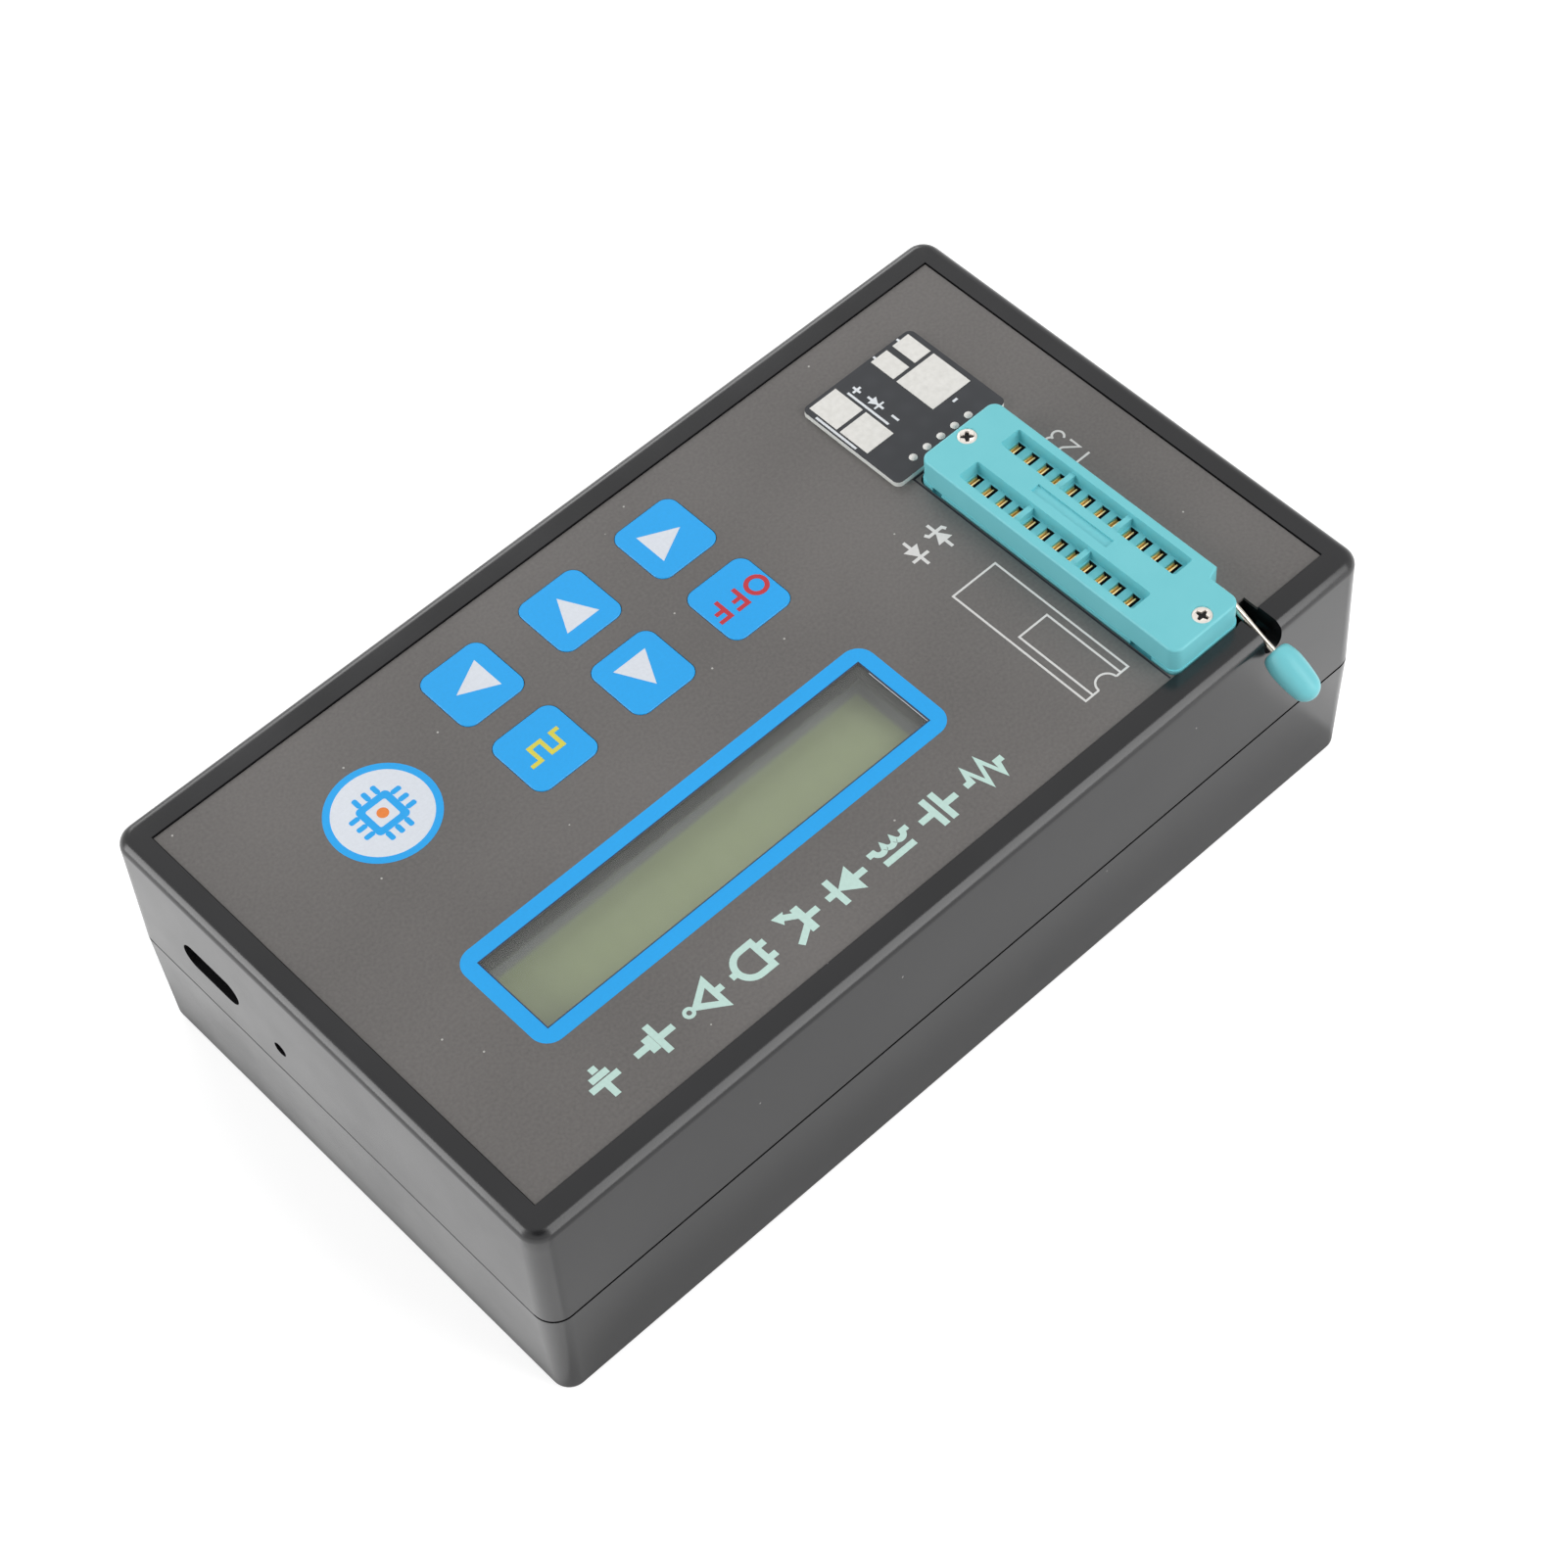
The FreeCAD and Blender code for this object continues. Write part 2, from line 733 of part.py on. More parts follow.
def make_boards():
    """Main board with its screws, the display stack on it and the adapter board on the film."""
    hx, hy = board_right, half_width - wall - board_margin
    board = block(-hx, hx, -hy, hy, board_under, board_top)
    lcd_pins = [(x, header_y) for x in header_xs]
    solder_pins = [(x, solder_y) for x in solder_xs]
    z0, z1 = board_under - cut_over, board_top + cut_over
    cuts = [post(x, y, z0, z1, board_screw_radius + screw_fit) for x, y in board_posts]
    clear = post_radius + board_corner_gap
    for x, y in post_places:
        far_x, far_y = math.copysign(half_length, x), math.copysign(half_width, y)
        near_x, near_y = x - math.copysign(clear, x), y - math.copysign(clear, y)
        x0, x1 = sorted((near_x, far_x))
        y0, y1 = sorted((near_y, far_y))
        cuts.append(rounded_block(x0, x1, y0, y1, clear / 2, z0, z1))
    cuts += [post(x, y, z0, z1, lcd_screw_radius + screw_fit) for x, y in lcd_holes]
    cuts += square_pins(lcd_pins + solder_pins, z0, z1, header_hole)
    w = lamp_width / 2 + lamp_fit
    cuts.append(block(hx - lamp_length + lamp_seat, hx + cut_over, lamp_y - w, lamp_y + w, z0, z1))
    nodes["main_board"] = board.cut(Part.makeCompound(cuts))

    tip = board_screw_top - screw_end_gap
    head = (board_screw_head_radius, board_screw_head_height, board_screw_radius)
    screws = [pan_screw(x, y, board_under, tip, *head) for x, y in board_posts]
    nodes["board_screws"] = Part.makeCompound(screws)

    lx, ly = lcd_board_length / 2, lcd_board_width / 2
    lcd = block(window_x - lx, window_x + lx, window_y - ly, window_y + ly, lcd_bottom, lcd_top)
    z0, z1 = lcd_bottom - cut_over, lcd_top + cut_over
    cuts = [post(x, y, z0, z1, lcd_screw_radius + screw_fit) for x, y in lcd_holes]
    cuts += square_pins(lcd_pins, z0, z1, header_hole)
    nodes["lcd_board"] = lcd.cut(Part.makeCompound(cuts))

    strip = block(
        header_xs[0] - header_pitch / 2,
        header_xs[-1] + header_pitch / 2,
        header_y - header_pitch / 2,
        header_y + header_pitch / 2,
        board_top,
        lcd_bottom,
    )
    pins = square_pins(lcd_pins, board_under - pin_below, lcd_top + pin_below, header_pin)
    nodes["lcd_header"] = fused([strip] + pins)

    spacers, screws, nuts = [], [], []
    for x, y in lcd_holes:
        bore = post(x, y, board_top, lcd_bottom, lcd_screw_radius + screw_fit)
        spacers.append(post(x, y, board_top, lcd_bottom, spacer_radius).cut(bore))
        tip = board_under - nut_height - lcd_screw_end
        screws.append(
            pan_screw(x, y, lcd_top, tip, lcd_screw_head_radius, lcd_screw_head_height, lcd_screw_radius)
        )
        r = nut_flat / math.sqrt(3)
        corners = [
            V(x + r * math.cos(math.radians(60 * i)), y + r * math.sin(math.radians(60 * i)), board_under)
            for i in range(6)
        ]
        nut = polygon(corners, V(0, 0, -nut_height))
        nuts.append(nut.cut(post(x, y, tip, board_under, lcd_screw_radius + screw_fit)))
    nodes["lcd_spacers"] = Part.makeCompound(spacers)
    nodes["lcd_screws"] = Part.makeCompound(screws)
    nodes["lcd_nuts"] = Part.makeCompound(nuts)

    bx, by = bezel_length / 2, bezel_width / 2
    t = bezel_sheet
    bezel = rounded_block(
        window_x - bx, window_x + bx, window_y - by, window_y + by, bezel_corner, lcd_top, bezel_top
    )
    inside = block(
        window_x - bx + t, window_x + bx - t, window_y - by + t, window_y + by - t, lcd_top, bezel_top - t
    )
    wx = window_length / 2 + bezel_window_margin
    wy = window_width / 2 + bezel_window_margin
    sight = block(window_x - wx, window_x + wx, window_y - wy, window_y + wy, lcd_top, bezel_top + cut_over)
    nodes["lcd_bezel"] = bezel.cut(inside).cut(sight)
    gx, gy = bx - t - glass_clearance, by - t - glass_clearance
    glass_top = bezel_top - t
    glass_bottom = glass_top - glass_thickness
    nodes["lcd_glass"] = block(
        window_x - gx, window_x + gx, window_y - gy, window_y + gy, glass_bottom, glass_top
    )
    nodes["lcd_backlight"] = block(
        window_x - gx, window_x + gx, window_y - gy, window_y + gy, lcd_top, glass_bottom
    )

    plate = rounded_block(
        adapter_left, adapter_right, adapter_back, adapter_front, adapter_corner, film_top, adapter_top
    )
    holes = square_pins(solder_pins, film_top - cut_over, adapter_top + cut_over, header_hole)
    nodes["adapter_board"] = plate.cut(Part.makeCompound(holes))
    nodes["adapter_pads"] = Part.makeCompound(adapter_pads())
    beads = []
    for x, y in solder_pins:
        beads.append(Part.makeCone(solder_radius, solder_crown, solder_height, V(x, y, adapter_top)))
    nodes["solder_beads"] = Part.makeCompound(beads)
    m = header_pitch / 2
    strip = block(
        solder_xs[-1] - m, solder_xs[0] + m, solder_y - m, solder_y + m, board_top, board_top + header_body
    )
    pins = square_pins(solder_pins, board_under - pin_below, adapter_top, header_pin)
    nodes["adapter_header"] = fused([strip] + pins)


def adapter_pads():
    """Bare solder pads: a three-terminal footprint on the left, a two-terminal one on the right."""
    pads = []

    def pad(side, back, width, length):
        x1 = adapter_right - side
        y0 = adapter_back + back
        pads.append(block(x1 - width, x1, y0, y0 + length, adapter_top, adapter_top + pad_thickness))

    second_row = pad_back + twin_pad_length + pad_spacing
    pad(pad_edge, pad_back, twin_pad_width, twin_pad_length)
    pad(pad_edge, second_row, twin_pad_width, twin_pad_length)
    large_side = adapter_width - large_pad - pad_edge
    pad(large_side, pad_back + small_pad_length + pad_spacing, large_pad, large_pad)
    pad(large_side, pad_back, small_pad_width, small_pad_length)
    pad(large_side + large_pad - small_pad_width, pad_back, small_pad_width, small_pad_length)
    return pads


def make_socket():
    """Test socket: risers, base, contacts, slider, cover and screws."""
    row_half = riser_width / 2
    risers = []
    well_bottom = base_bottom - tail_length - tail_well
    for x in row_xs:
        strip = block(
            x - row_half,
            x + row_half,
            first_pin_y - pin_pitch / 2,
            last_pin_y + pin_pitch / 2,
            board_top,
            base_bottom,
        )
        w = tail_width / 2 + tail_fit
        t = contact_sheet / 2 + tail_fit
        wells = []
        for y in pin_ys:
            c = y + contact_offset
            wells.append(block(x - w, x + w, c - t, c + t, well_bottom, base_bottom))
        risers.append(strip.cut(Part.makeCompound(wells)))
    nodes["socket_risers"] = Part.makeCompound(risers)
    nodes["socket_base"] = socket_base()
    nodes["socket_contacts"] = Part.makeCompound([contact(x, y) for x in row_xs for y in pin_ys])
    nodes["socket_slider"] = slider()
    nodes["socket_cover"] = cover()
    top, tip = cover_top - socket_screw_sink, base_bottom + base_floor
    screws = [countersunk_screw(socket_x, y, top, tip) for y in (tail_screw_y, nose_screw_y)]
    nodes["socket_screws"] = Part.makeCompound(screws)


def countersunk_screw(x, y, top, tip):
    """Flat-headed screw with its head flush in the cover."""
    cone = top - socket_screw_cone
    head = Part.makeCone(socket_screw_radius, socket_screw_head, socket_screw_cone, V(x, y, cone))
    shank = post(x, y, tip, cone, socket_screw_radius)
    arm, half = socket_cross_reach, socket_cross_half
    deep = socket_cross_depth
    cross = [
        block(x - arm, x + arm, y - half, y + half, top - deep, top),
        block(x - half, x + half, y - arm, y + arm, top - deep, top),
    ]
    return head.fuse(shank).removeSplitter().cut(Part.makeCompound(cross))


def screw_bores():
    """Clearance for the shanks of the two cover screws."""
    r = socket_screw_radius + screw_fit
    low = base_bottom + base_floor - socket_bore_end
    return [post(socket_x, y, low, cover_top + cut_over, r) for y in (tail_screw_y, nose_screw_y)]


def countersinks():
    """Clearance for the heads of the two cover screws."""
    cuts = []
    top = cover_top - socket_screw_sink
    r = socket_screw_radius + screw_fit
    head = socket_screw_head + screw_fit
    for y in (tail_screw_y, nose_screw_y):
        cuts.append(Part.makeCone(r, head, socket_screw_cone, V(socket_x, y, top - socket_screw_cone)))
        cuts.append(post(socket_x, y, top, cover_top + cut_over, head))
    return cuts


def slider_room(z0, z1):
    """Channel along the socket in which the slider runs."""
    half = slider_half_width + slider_gap * 2
    y0, y1 = first_pin_y - channel_back, last_pin_y + channel_front
    return block(socket_x - half, socket_x + half, y0, y1, z0, z1)


def socket_base():
    """Lower body with a guide channel, a pocket per contact, bearing saddle and skirt notches."""
    base = socket_outline(base_ledge, base_bottom, cover_bottom)
    over = cover_bottom + cut_over
    cuts = [slider_room(deck_z, over)]
    cam_left = cam_x - cam_width / 2 - cam_side_gap
    cam_right = cam_x + cam_width / 2 + cam_side_gap
    cuts.append(block(cam_left, cam_right, last_pin_y + cam_room_back, nose_y - nose_wall, deck_z, over))
    well = pocket_length / 2
    floor_z = base_bottom + base_floor
    w = tail_width / 2 + tail_fit
    t = contact_sheet / 2 + tail_fit
    for x in row_xs:
        for y in pin_ys:
            c = y + contact_offset
            cuts.append(block(x - well, x + well, y - well_back, y + well_front, floor_z, over))
            cuts.append(block(x - w, x + w, c - t, c + t, base_bottom - cut_over, over))
    for start, end in (skirt_notch_back, skirt_notch_front):
        x0, x1 = cover_right - skirt_notch_in, cover_right + cut_over
        cuts.append(block(x0, x1, tail_y + start, tail_y + end, cover_bottom - skirt_notch_depth, over))
    base = base.cut(Part.makeCompound(cuts + screw_bores()))
    saddle = block(
        cam_right,
        cam_right + bearing_width,
        pivot_y - saddle_back,
        pivot_y + saddle_front,
        deck_z - join_depth,
        pivot_z,
    )
    tongue = block(
        nose_left + bearing_gap,
        nose_left + socket_wall - bearing_gap,
        pivot_y - shaft_radius,
        pivot_y + shaft_radius,
        cover_bottom - join_depth,
        pivot_z - bearing_below,
    )
    start = V(nose_left - cut_over, pivot_y, pivot_z)
    bore = Part.makeCylinder(shaft_radius + shaft_fit, cover_width, start, V(1, 0, 0))
    return fused([base, saddle, tongue]).cut(bore)


def contact(x, y):
    """Brass contact: a bowed spring finger and a plain leaf on one foot, with a tail into the riser."""
    c = y + contact_offset
    t = contact_sheet / 2
    z0 = base_bottom + base_floor
    tip = slot_floor_z - contact_tip_below
    bend = tip - contact_bend_below
    crown = tip - contact_bow_below
    inner = c + t + contact_gap
    outer = inner + contact_leaf
    w = contact_width / 2
    points = [
        V(x - w, c - t, z0),
        V(x - w, outer, z0),
        V(x - w, outer, tip),
        V(x - w, inner, tip),
        V(x - w, inner, z0 + contact_sheet),
        V(x - w, c + t, z0 + contact_sheet),
        V(x - w, c + t, bend),
        V(x - w, c + t + contact_bow, crown),
        V(x - w, c + t, tip),
        V(x - w, c - t, tip),
        V(x - w, c - t + contact_bow, crown),
        V(x - w, c - t, bend),
    ]
    finger = polygon(points, V(contact_width, 0, 0))
    half = tail_width / 2
    tail = block(x - half, x + half, c - t, c + t, base_bottom - tail_length, z0)
    return finger.fuse(tail).removeSplitter()


def slider():
    """Plate that the cam drives along the socket, with a window per contact and a fork at its end."""
    plate = block(
        socket_x - slider_half_width,
        socket_x + slider_half_width,
        first_pin_y - slider_back,
        last_pin_y + slider_front,
        slider_bottom,
        slider_top,
    )
    w = pocket_length / 2 + slider_window_gap
    window = pin_pitch - slider_rib
    low, high = slider_bottom - cut_over, slider_top + cut_over
    windows = []
    for x in row_xs:
        for y in pin_ys:
            front = y + slider_rib_front
            windows.append(block(x - w, x + w, front - window, front, low, high))
    plate = plate.cut(Part.makeCompound(windows))
    x0, x1 = cam_x - cam_width / 2, cam_x + cam_width / 2
    gap = cam_radius + cam_fit
    y0, y1 = cam_y - gap - fork_wall, cam_y + gap + fork_wall
    floor_z = pivot_z - cam_offset - cam_radius - cam_fit
    neck = block(x0, x1, last_pin_y + neck_root, y1, slider_bottom, floor_z)
    back = block(x0, x1, y0, cam_y - gap, slider_bottom, slider_bottom + fork_height)
    front = block(x0, x1, cam_y + gap, y1, slider_bottom, slider_bottom + fork_height)
    return fused([plate, neck, back, front])


def slot_cut(x):
    """Drafted slot of the cover over one row of contacts."""
    y0, y1 = first_pin_y - slot_back + slot_draft, last_pin_y + slot_front
    half_x, half_y = slot_width / 2 - slot_draft, (y1 - y0) / 2
    cut = drafted(half_x, half_y, slot_corner, slot_floor_z, -slot_draft, cover_top)
    cut.translate(V(x, (y0 + y1) / 2, 0))
    return cut


def cover():
    """Moulded top of the socket: two stepped slots with contact pockets, spine recess and nose housing."""
    body = socket_outline(0.0, cover_bottom, cover_top)
    body = body.makeFillet(cover_edge, edges_at(body, cover_top))
    cuts = [slot_cut(x) for x in row_xs]
    px, py = pocket_length / 2, pocket_width / 2
    low, high = slot_under - cut_over, slot_floor_z + cut_over
    for x in row_xs:
        for y in pin_ys:
            c = y + pocket_shift
            cuts.append(block(x - px, x + px, c - py, c + py, low, high))
    r, s = spine_recess_width / 2, spine_recess_length / 2
    mid_y = (first_pin_y + last_pin_y) / 2
    recess_z = cover_top - spine_recess_depth
    cuts.append(block(socket_x - r, socket_x + r, mid_y - s, mid_y + s, recess_z, cover_top + cut_over))
    below = cover_bottom - cut_over
    cuts.append(slider_room(below, slot_under))
    room_left, room_right = nose_left + socket_wall, cover_right - socket_wall
    room_back = last_pin_y + slot_front + nose_room_back
    cuts.append(block(room_left, room_right, room_back, nose_y - nose_wall, below, cover_top - socket_wall))
    body = body.cut(Part.makeCompound(cuts))
    bars = []
    half, t = slot_width / 2, bar_thickness / 2
    low, high = slot_floor_z - join_depth, slot_floor_z + bar_height
    for x in row_xs:
        for group in range(1, pins_per_row // pins_per_group):
            y = first_pin_y + (group * pins_per_group - 0.5) * pin_pitch
            bars.append(block(x - half, x + half, y - t, y + t, low, high))
    boss_radius = socket_screw_head + socket_boss_wall
    boss = post(socket_x, nose_screw_y, cover_bottom, cover_top - join_depth, boss_radius)
    body = fused([body, boss] + bars)
    slot = shaft_radius + shaft_fit
    x0, x1 = nose_left - cut_over, room_left + cam_wall_gap
    cuts = [block(x0, x1, pivot_y - slot, pivot_y + slot, below, pivot_z)]
    cuts.append(Part.makeCylinder(slot, x1 - x0, V(x0, pivot_y, pivot_z), V(1, 0, 0)))
    return body.cut(Part.makeCompound(cuts + screw_bores() + countersinks()))


def make_lever():
    """Steel lever with its cranked shaft and cam, and the moulded knob on its end."""
    droop = math.radians(lever_droop)
    along = V(0, math.cos(droop), -math.sin(droop))
    pivot = V(lever_x, pivot_y, pivot_z)
    shaft_end = cam_x + cam_width / 2 + cam_side_gap + bearing_width
    b = lever_bend
    bend_start = pivot + V(b, 0, 0)
    bend_end = pivot + along * b
    bend_middle = pivot + (V(1, 0, 0) + along) * (b * (1 - math.sqrt(0.5)))
    path = Part.Wire(
        [
            Part.LineSegment(V(shaft_end, pivot_y, pivot_z), bend_start).toShape(),
            Part.Arc(bend_start, bend_middle, bend_end).toShape(),
        ]
    )
    ring = Part.Wire(Part.Circle(V(shaft_end, pivot_y, pivot_z), V(-1, 0, 0), shaft_radius).toShape())
    shaft = path.makePipeShell([ring], True, True)
    arm_start = pivot + along * b
    arm_length = knob_start - b
    arm = Part.makeCone(shaft_radius, lever_tip_radius, arm_length, arm_start, along)
    tip = Part.makeCylinder(lever_tip_radius, knob_grip, pivot + along * knob_start, along)
    cam = Part.makeCylinder(cam_radius, cam_width, V(cam_x - cam_width / 2, cam_y, cam_z), V(1, 0, 0))
    nodes["socket_lever"] = fused([shaft, arm, tip, cam])

    up = V(0, math.sin(droop), math.cos(droop))

    def at(distance, radius):
        """Point on the knob's profile: so far along the arm, so far off its axis."""
        return pivot + along * (knob_start + distance) + up * radius

    rise = knob_radius - knob_mouth_radius
    neck_bow = (knob_shoulder**2 + rise**2) / (2 * rise)
    half_turn = math.asin(knob_shoulder / neck_bow) / 2
    neck_middle = knob_shoulder - neck_bow * math.sin(half_turn)
    neck_radius = knob_radius - neck_bow * (1 - math.cos(half_turn))
    nose_at = knob_length - knob_nose_radius
    run = nose_at - knob_shoulder
    body_bow = (run**2 + knob_radius**2 - knob_nose_radius**2) / (2 * (knob_radius - knob_nose_radius))
    turn = math.atan2(run, body_bow - knob_radius)
    body_middle = knob_shoulder + body_bow * math.sin(turn / 2)
    body_radius = knob_radius - body_bow * (1 - math.cos(turn / 2))
    join_x = nose_at + knob_nose_radius * math.sin(turn)
    join_r = knob_nose_radius * math.cos(turn)
    nose_turn = (turn + math.pi / 2) / 2
    nose_x = nose_at + knob_nose_radius * math.sin(nose_turn)
    nose_r = knob_nose_radius * math.cos(nose_turn)
    shoulder = at(knob_shoulder, knob_radius)
    rim = knob_start + tolerance
    join, tip = at(join_x, join_r), at(knob_length, 0.0)
    outline = Part.Wire(
        [
            Part.LineSegment(at(0.0, 0.0), at(0.0, knob_mouth_radius)).toShape(),
            Part.Arc(at(0.0, knob_mouth_radius), at(neck_middle, neck_radius), shoulder).toShape(),
            Part.Arc(shoulder, at(body_middle, body_radius), join).toShape(),
            Part.Arc(join, at(nose_x, nose_r), tip).toShape(),
            Part.LineSegment(tip, at(0.0, 0.0)).toShape(),
        ]
    )
    knob = Part.Face(outline).revolve(pivot, along, 360)
    rings = [e for e in knob.Edges if len(e.Vertexes) == 1]
    mouth = [e for e in rings if (e.Vertexes[0].Point - pivot).dot(along) < rim]
    knob = knob.makeFillet(knob_mouth_edge, mouth)
    hole = Part.makeCylinder(lever_tip_radius + knob_fit, knob_grip, pivot + along * knob_start, along)
    nodes["lever_knob"] = knob.cut(hole)


def make_power():
    """Charging socket, charge lamp, cell and holder, and the chips."""
    rear = usb_mouth - usb_length
    shell = stadium(rear, usb_mouth, usb_y, usb_z, usb_width, usb_height)
    t = usb_sheet
    inner = (usb_y, usb_z, usb_width - 2 * t, usb_height - 2 * t)
    shell = shell.cut(stadium(rear + t, usb_mouth + cut_over, *inner))
    nodes["usb_socket"] = shell
    h = usb_tongue_width / 2
    root = usb_mouth - usb_tongue_root
    v = usb_tongue_thickness / 2
    blade = block(root, usb_mouth - usb_tongue_recess, usb_y - h, usb_y + h, usb_z - v, usb_z + v)
    back = stadium(rear + t, root, *inner)
    nodes["usb_tongue"] = back.fuse(blade).removeSplitter()

    w, v = lamp_width / 2, lamp_height / 2
    lamp_back = board_right - lamp_length + lamp_seat
    front = lamp_back + lamp_length
    lens_back = front - lamp_lens_length
    lens_front = front + lamp_lens_proud
    lamp = block(lamp_back, lens_back, lamp_y - w, lamp_y + w, lamp_z - v, lamp_z + v)
    lens_start = V(lens_back, lamp_y, lamp_z)
    lens = Part.makeCylinder(lamp_lens_radius, lens_front - lens_back, lens_start, V(1, 0, 0))
    lens = lens.common(block(lens_back, lens_front, lamp_y - w, lamp_y + w, lamp_z - v, lamp_z + v))
    nodes["charge_lamp"] = fused([lamp, lens])

    cell_z = board_under - holder_wall - cell_radius - cell_fit
    x0, x1 = cell_x - cell_length / 2, cell_x + cell_length / 2
    axis = V(1, 0, 0)
    can = Part.makeCylinder(cell_radius, cell_length - cell_nub_height, V(x0, cell_y, cell_z), axis)
    can = can.makeChamfer(cell_edge, [e for e in can.Edges if e.Curve.TypeId == "Part::GeomCircle"])
    nub_x = x1 - cell_nub_height
    nub = Part.makeCylinder(cell_nub_radius, cell_nub_height, V(nub_x, cell_y, cell_z), axis)
    nodes["cell"] = can.fuse(nub).removeSplitter()
    half = cell_radius + cell_fit + holder_wall
    hx0 = x0 - holder_spring - holder_contact - holder_wall
    hx1 = x1 + holder_contact + holder_wall
    holder = block(hx0, hx1, cell_y - half, cell_y + half, board_under - holder_height, board_under)
    trough = Part.makeCylinder(
        cell_radius + cell_fit, hx1 - hx0 - 2 * holder_wall, V(hx0 + holder_wall, cell_y, cell_z), axis
    )
    mouth = block(
        hx0 + holder_wall,
        hx1 - holder_wall,
        cell_y - cell_radius - cell_fit,
        cell_y + cell_radius + cell_fit,
        cell_z - 2 * cell_radius,
        cell_z,
    )
    nodes["cell_holder"] = holder.cut(trough).cut(mouth)
    plates = []
    side = cell_contact_half
    low, high = cell_z - side, cell_z + side
    plates.append(block(x1, x1 + holder_contact, cell_y - side, cell_y + side, low, high))
    px = hx0 + holder_wall
    crown = cell_spring_crown
    bow = [
        V(px, cell_y - side, low),
        V(px + holder_contact, cell_y - side, low),
        V(x0, cell_y - side, cell_z - crown),
        V(x0, cell_y - side, cell_z + crown),
        V(px + holder_contact, cell_y - side, high),
        V(px, cell_y - side, high),
        V(px, cell_y - side, high - holder_contact),
        V(x0 - holder_contact, cell_y - side, cell_z + crown),
        V(x0 - holder_contact, cell_y - side, cell_z - crown),
        V(px, cell_y - side, low + holder_contact),
    ]
    plates.append(polygon(bow, V(0, 2 * side, 0)))
    nodes["cell_contacts"] = Part.makeCompound(plates)

    c = chip_size / 2
    z0 = board_top + chip_standoff
    body = block(chip_x - c, chip_x + c, chip_y - c, chip_y + c, z0, z0 + chip_height)
    body = body.makeChamfer(chip_edge, edges_at(body, z0 + chip_height))
    leads = []
    lead_top = z0 + chip_height / 2
    for i in range(chip_leads):
        offset = (i - (chip_leads - 1) / 2) * chip_lead_pitch
        for turn in range(4):
            lead = block(
                c - chip_lead_root,
                c + chip_lead_reach,
                offset - chip_lead_width / 2,
                offset + chip_lead_width / 2,
                lead_top - chip_lead_sheet,
                lead_top,
            )
            foot = block(
                c + chip_lead_reach - chip_lead_sheet,
                c + chip_lead_reach,
                offset - chip_lead_width / 2,
                offset + chip_lead_width / 2,
                board_top,
                lead_top,
            )
            leg = lead.fuse(foot).removeSplitter()
            leg.rotate(V(0, 0, 0), V(0, 0, 1), 90 * turn)
            leg.translate(V(chip_x, chip_y, 0))
            leads.append(leg)
    nodes["controller_chip"] = fused([body] + leads)
    r = crystal_width / 2
    x0, x1 = chip_x - crystal_length / 2 + r, chip_x + crystal_length / 2 - r
    top = board_top + crystal_height
    can = block(x0, x1, crystal_y - r, crystal_y + r, board_top, top)
    ends = [post(x, crystal_y, board_top, top, r) for x in (x0, x1)]
    nodes["quartz_crystal"] = fused([can] + ends)


def main():
    """Build every piece and write one file for each."""
    make_case()
    make_panel()
    make_boards()
    make_socket()
    make_lever()
    make_power()
    os.makedirs("parts", exist_ok=True)
    for name, shape in nodes.items():
        shape.exportStep("parts/" + name + ".step")
        print(name, len(shape.Solids), round(shape.Volume, 2), shape.isValid())
    print("slider_travel", round(slider_travel, 4), "cam", round(cam_y, 3), round(cam_z, 3))
    print("pivot", round(lever_x, 3), round(pivot_y, 3), round(pivot_z, 3))
    print("usb", round(usb_mouth, 3), round(usb_z, 3), "film_top", round(film_top, 3))


main()
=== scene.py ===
import logging
import math
from dataclasses import dataclass
from enum import Enum
from functools import cache

import bmesh
import bpy
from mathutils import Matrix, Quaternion, Vector
from mathutils.geometry import delaunay_2d_cdt, tessellate_polygon


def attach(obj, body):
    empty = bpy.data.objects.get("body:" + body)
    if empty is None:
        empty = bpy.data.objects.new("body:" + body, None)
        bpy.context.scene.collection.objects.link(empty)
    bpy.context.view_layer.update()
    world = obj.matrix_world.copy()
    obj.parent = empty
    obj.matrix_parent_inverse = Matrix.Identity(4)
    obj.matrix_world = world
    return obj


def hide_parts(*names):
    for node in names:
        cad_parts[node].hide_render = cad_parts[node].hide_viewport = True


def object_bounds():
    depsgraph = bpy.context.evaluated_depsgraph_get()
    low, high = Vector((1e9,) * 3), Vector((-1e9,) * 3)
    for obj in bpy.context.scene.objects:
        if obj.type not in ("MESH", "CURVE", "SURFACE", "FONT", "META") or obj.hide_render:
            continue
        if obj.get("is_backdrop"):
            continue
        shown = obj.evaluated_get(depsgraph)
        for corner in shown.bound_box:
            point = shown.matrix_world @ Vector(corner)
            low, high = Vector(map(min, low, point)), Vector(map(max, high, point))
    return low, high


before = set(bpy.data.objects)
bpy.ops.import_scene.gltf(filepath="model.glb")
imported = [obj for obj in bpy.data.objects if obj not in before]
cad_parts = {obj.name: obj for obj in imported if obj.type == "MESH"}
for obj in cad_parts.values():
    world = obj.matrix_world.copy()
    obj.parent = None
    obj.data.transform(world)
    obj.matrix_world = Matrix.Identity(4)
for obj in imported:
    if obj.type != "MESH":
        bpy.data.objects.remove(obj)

LOG = logging.getLogger("component_tester")
MM = 0.001
Point = tuple[float, float]
Place = tuple[float, float, float]
Four = tuple[float, float, float, float]
Loop = list[Point]
Shape = list[Loop]
Repeat = tuple[int, Place]
Tree = bpy.types.NodeTree
Socket = bpy.types.NodeSocket
Mesh = bpy.types.Mesh
Thing = bpy.types.Object
ONCE: Repeat = (1, (0.0, 0.0, 0.0))
WHITE = (1.0, 1.0, 1.0, 1.0)

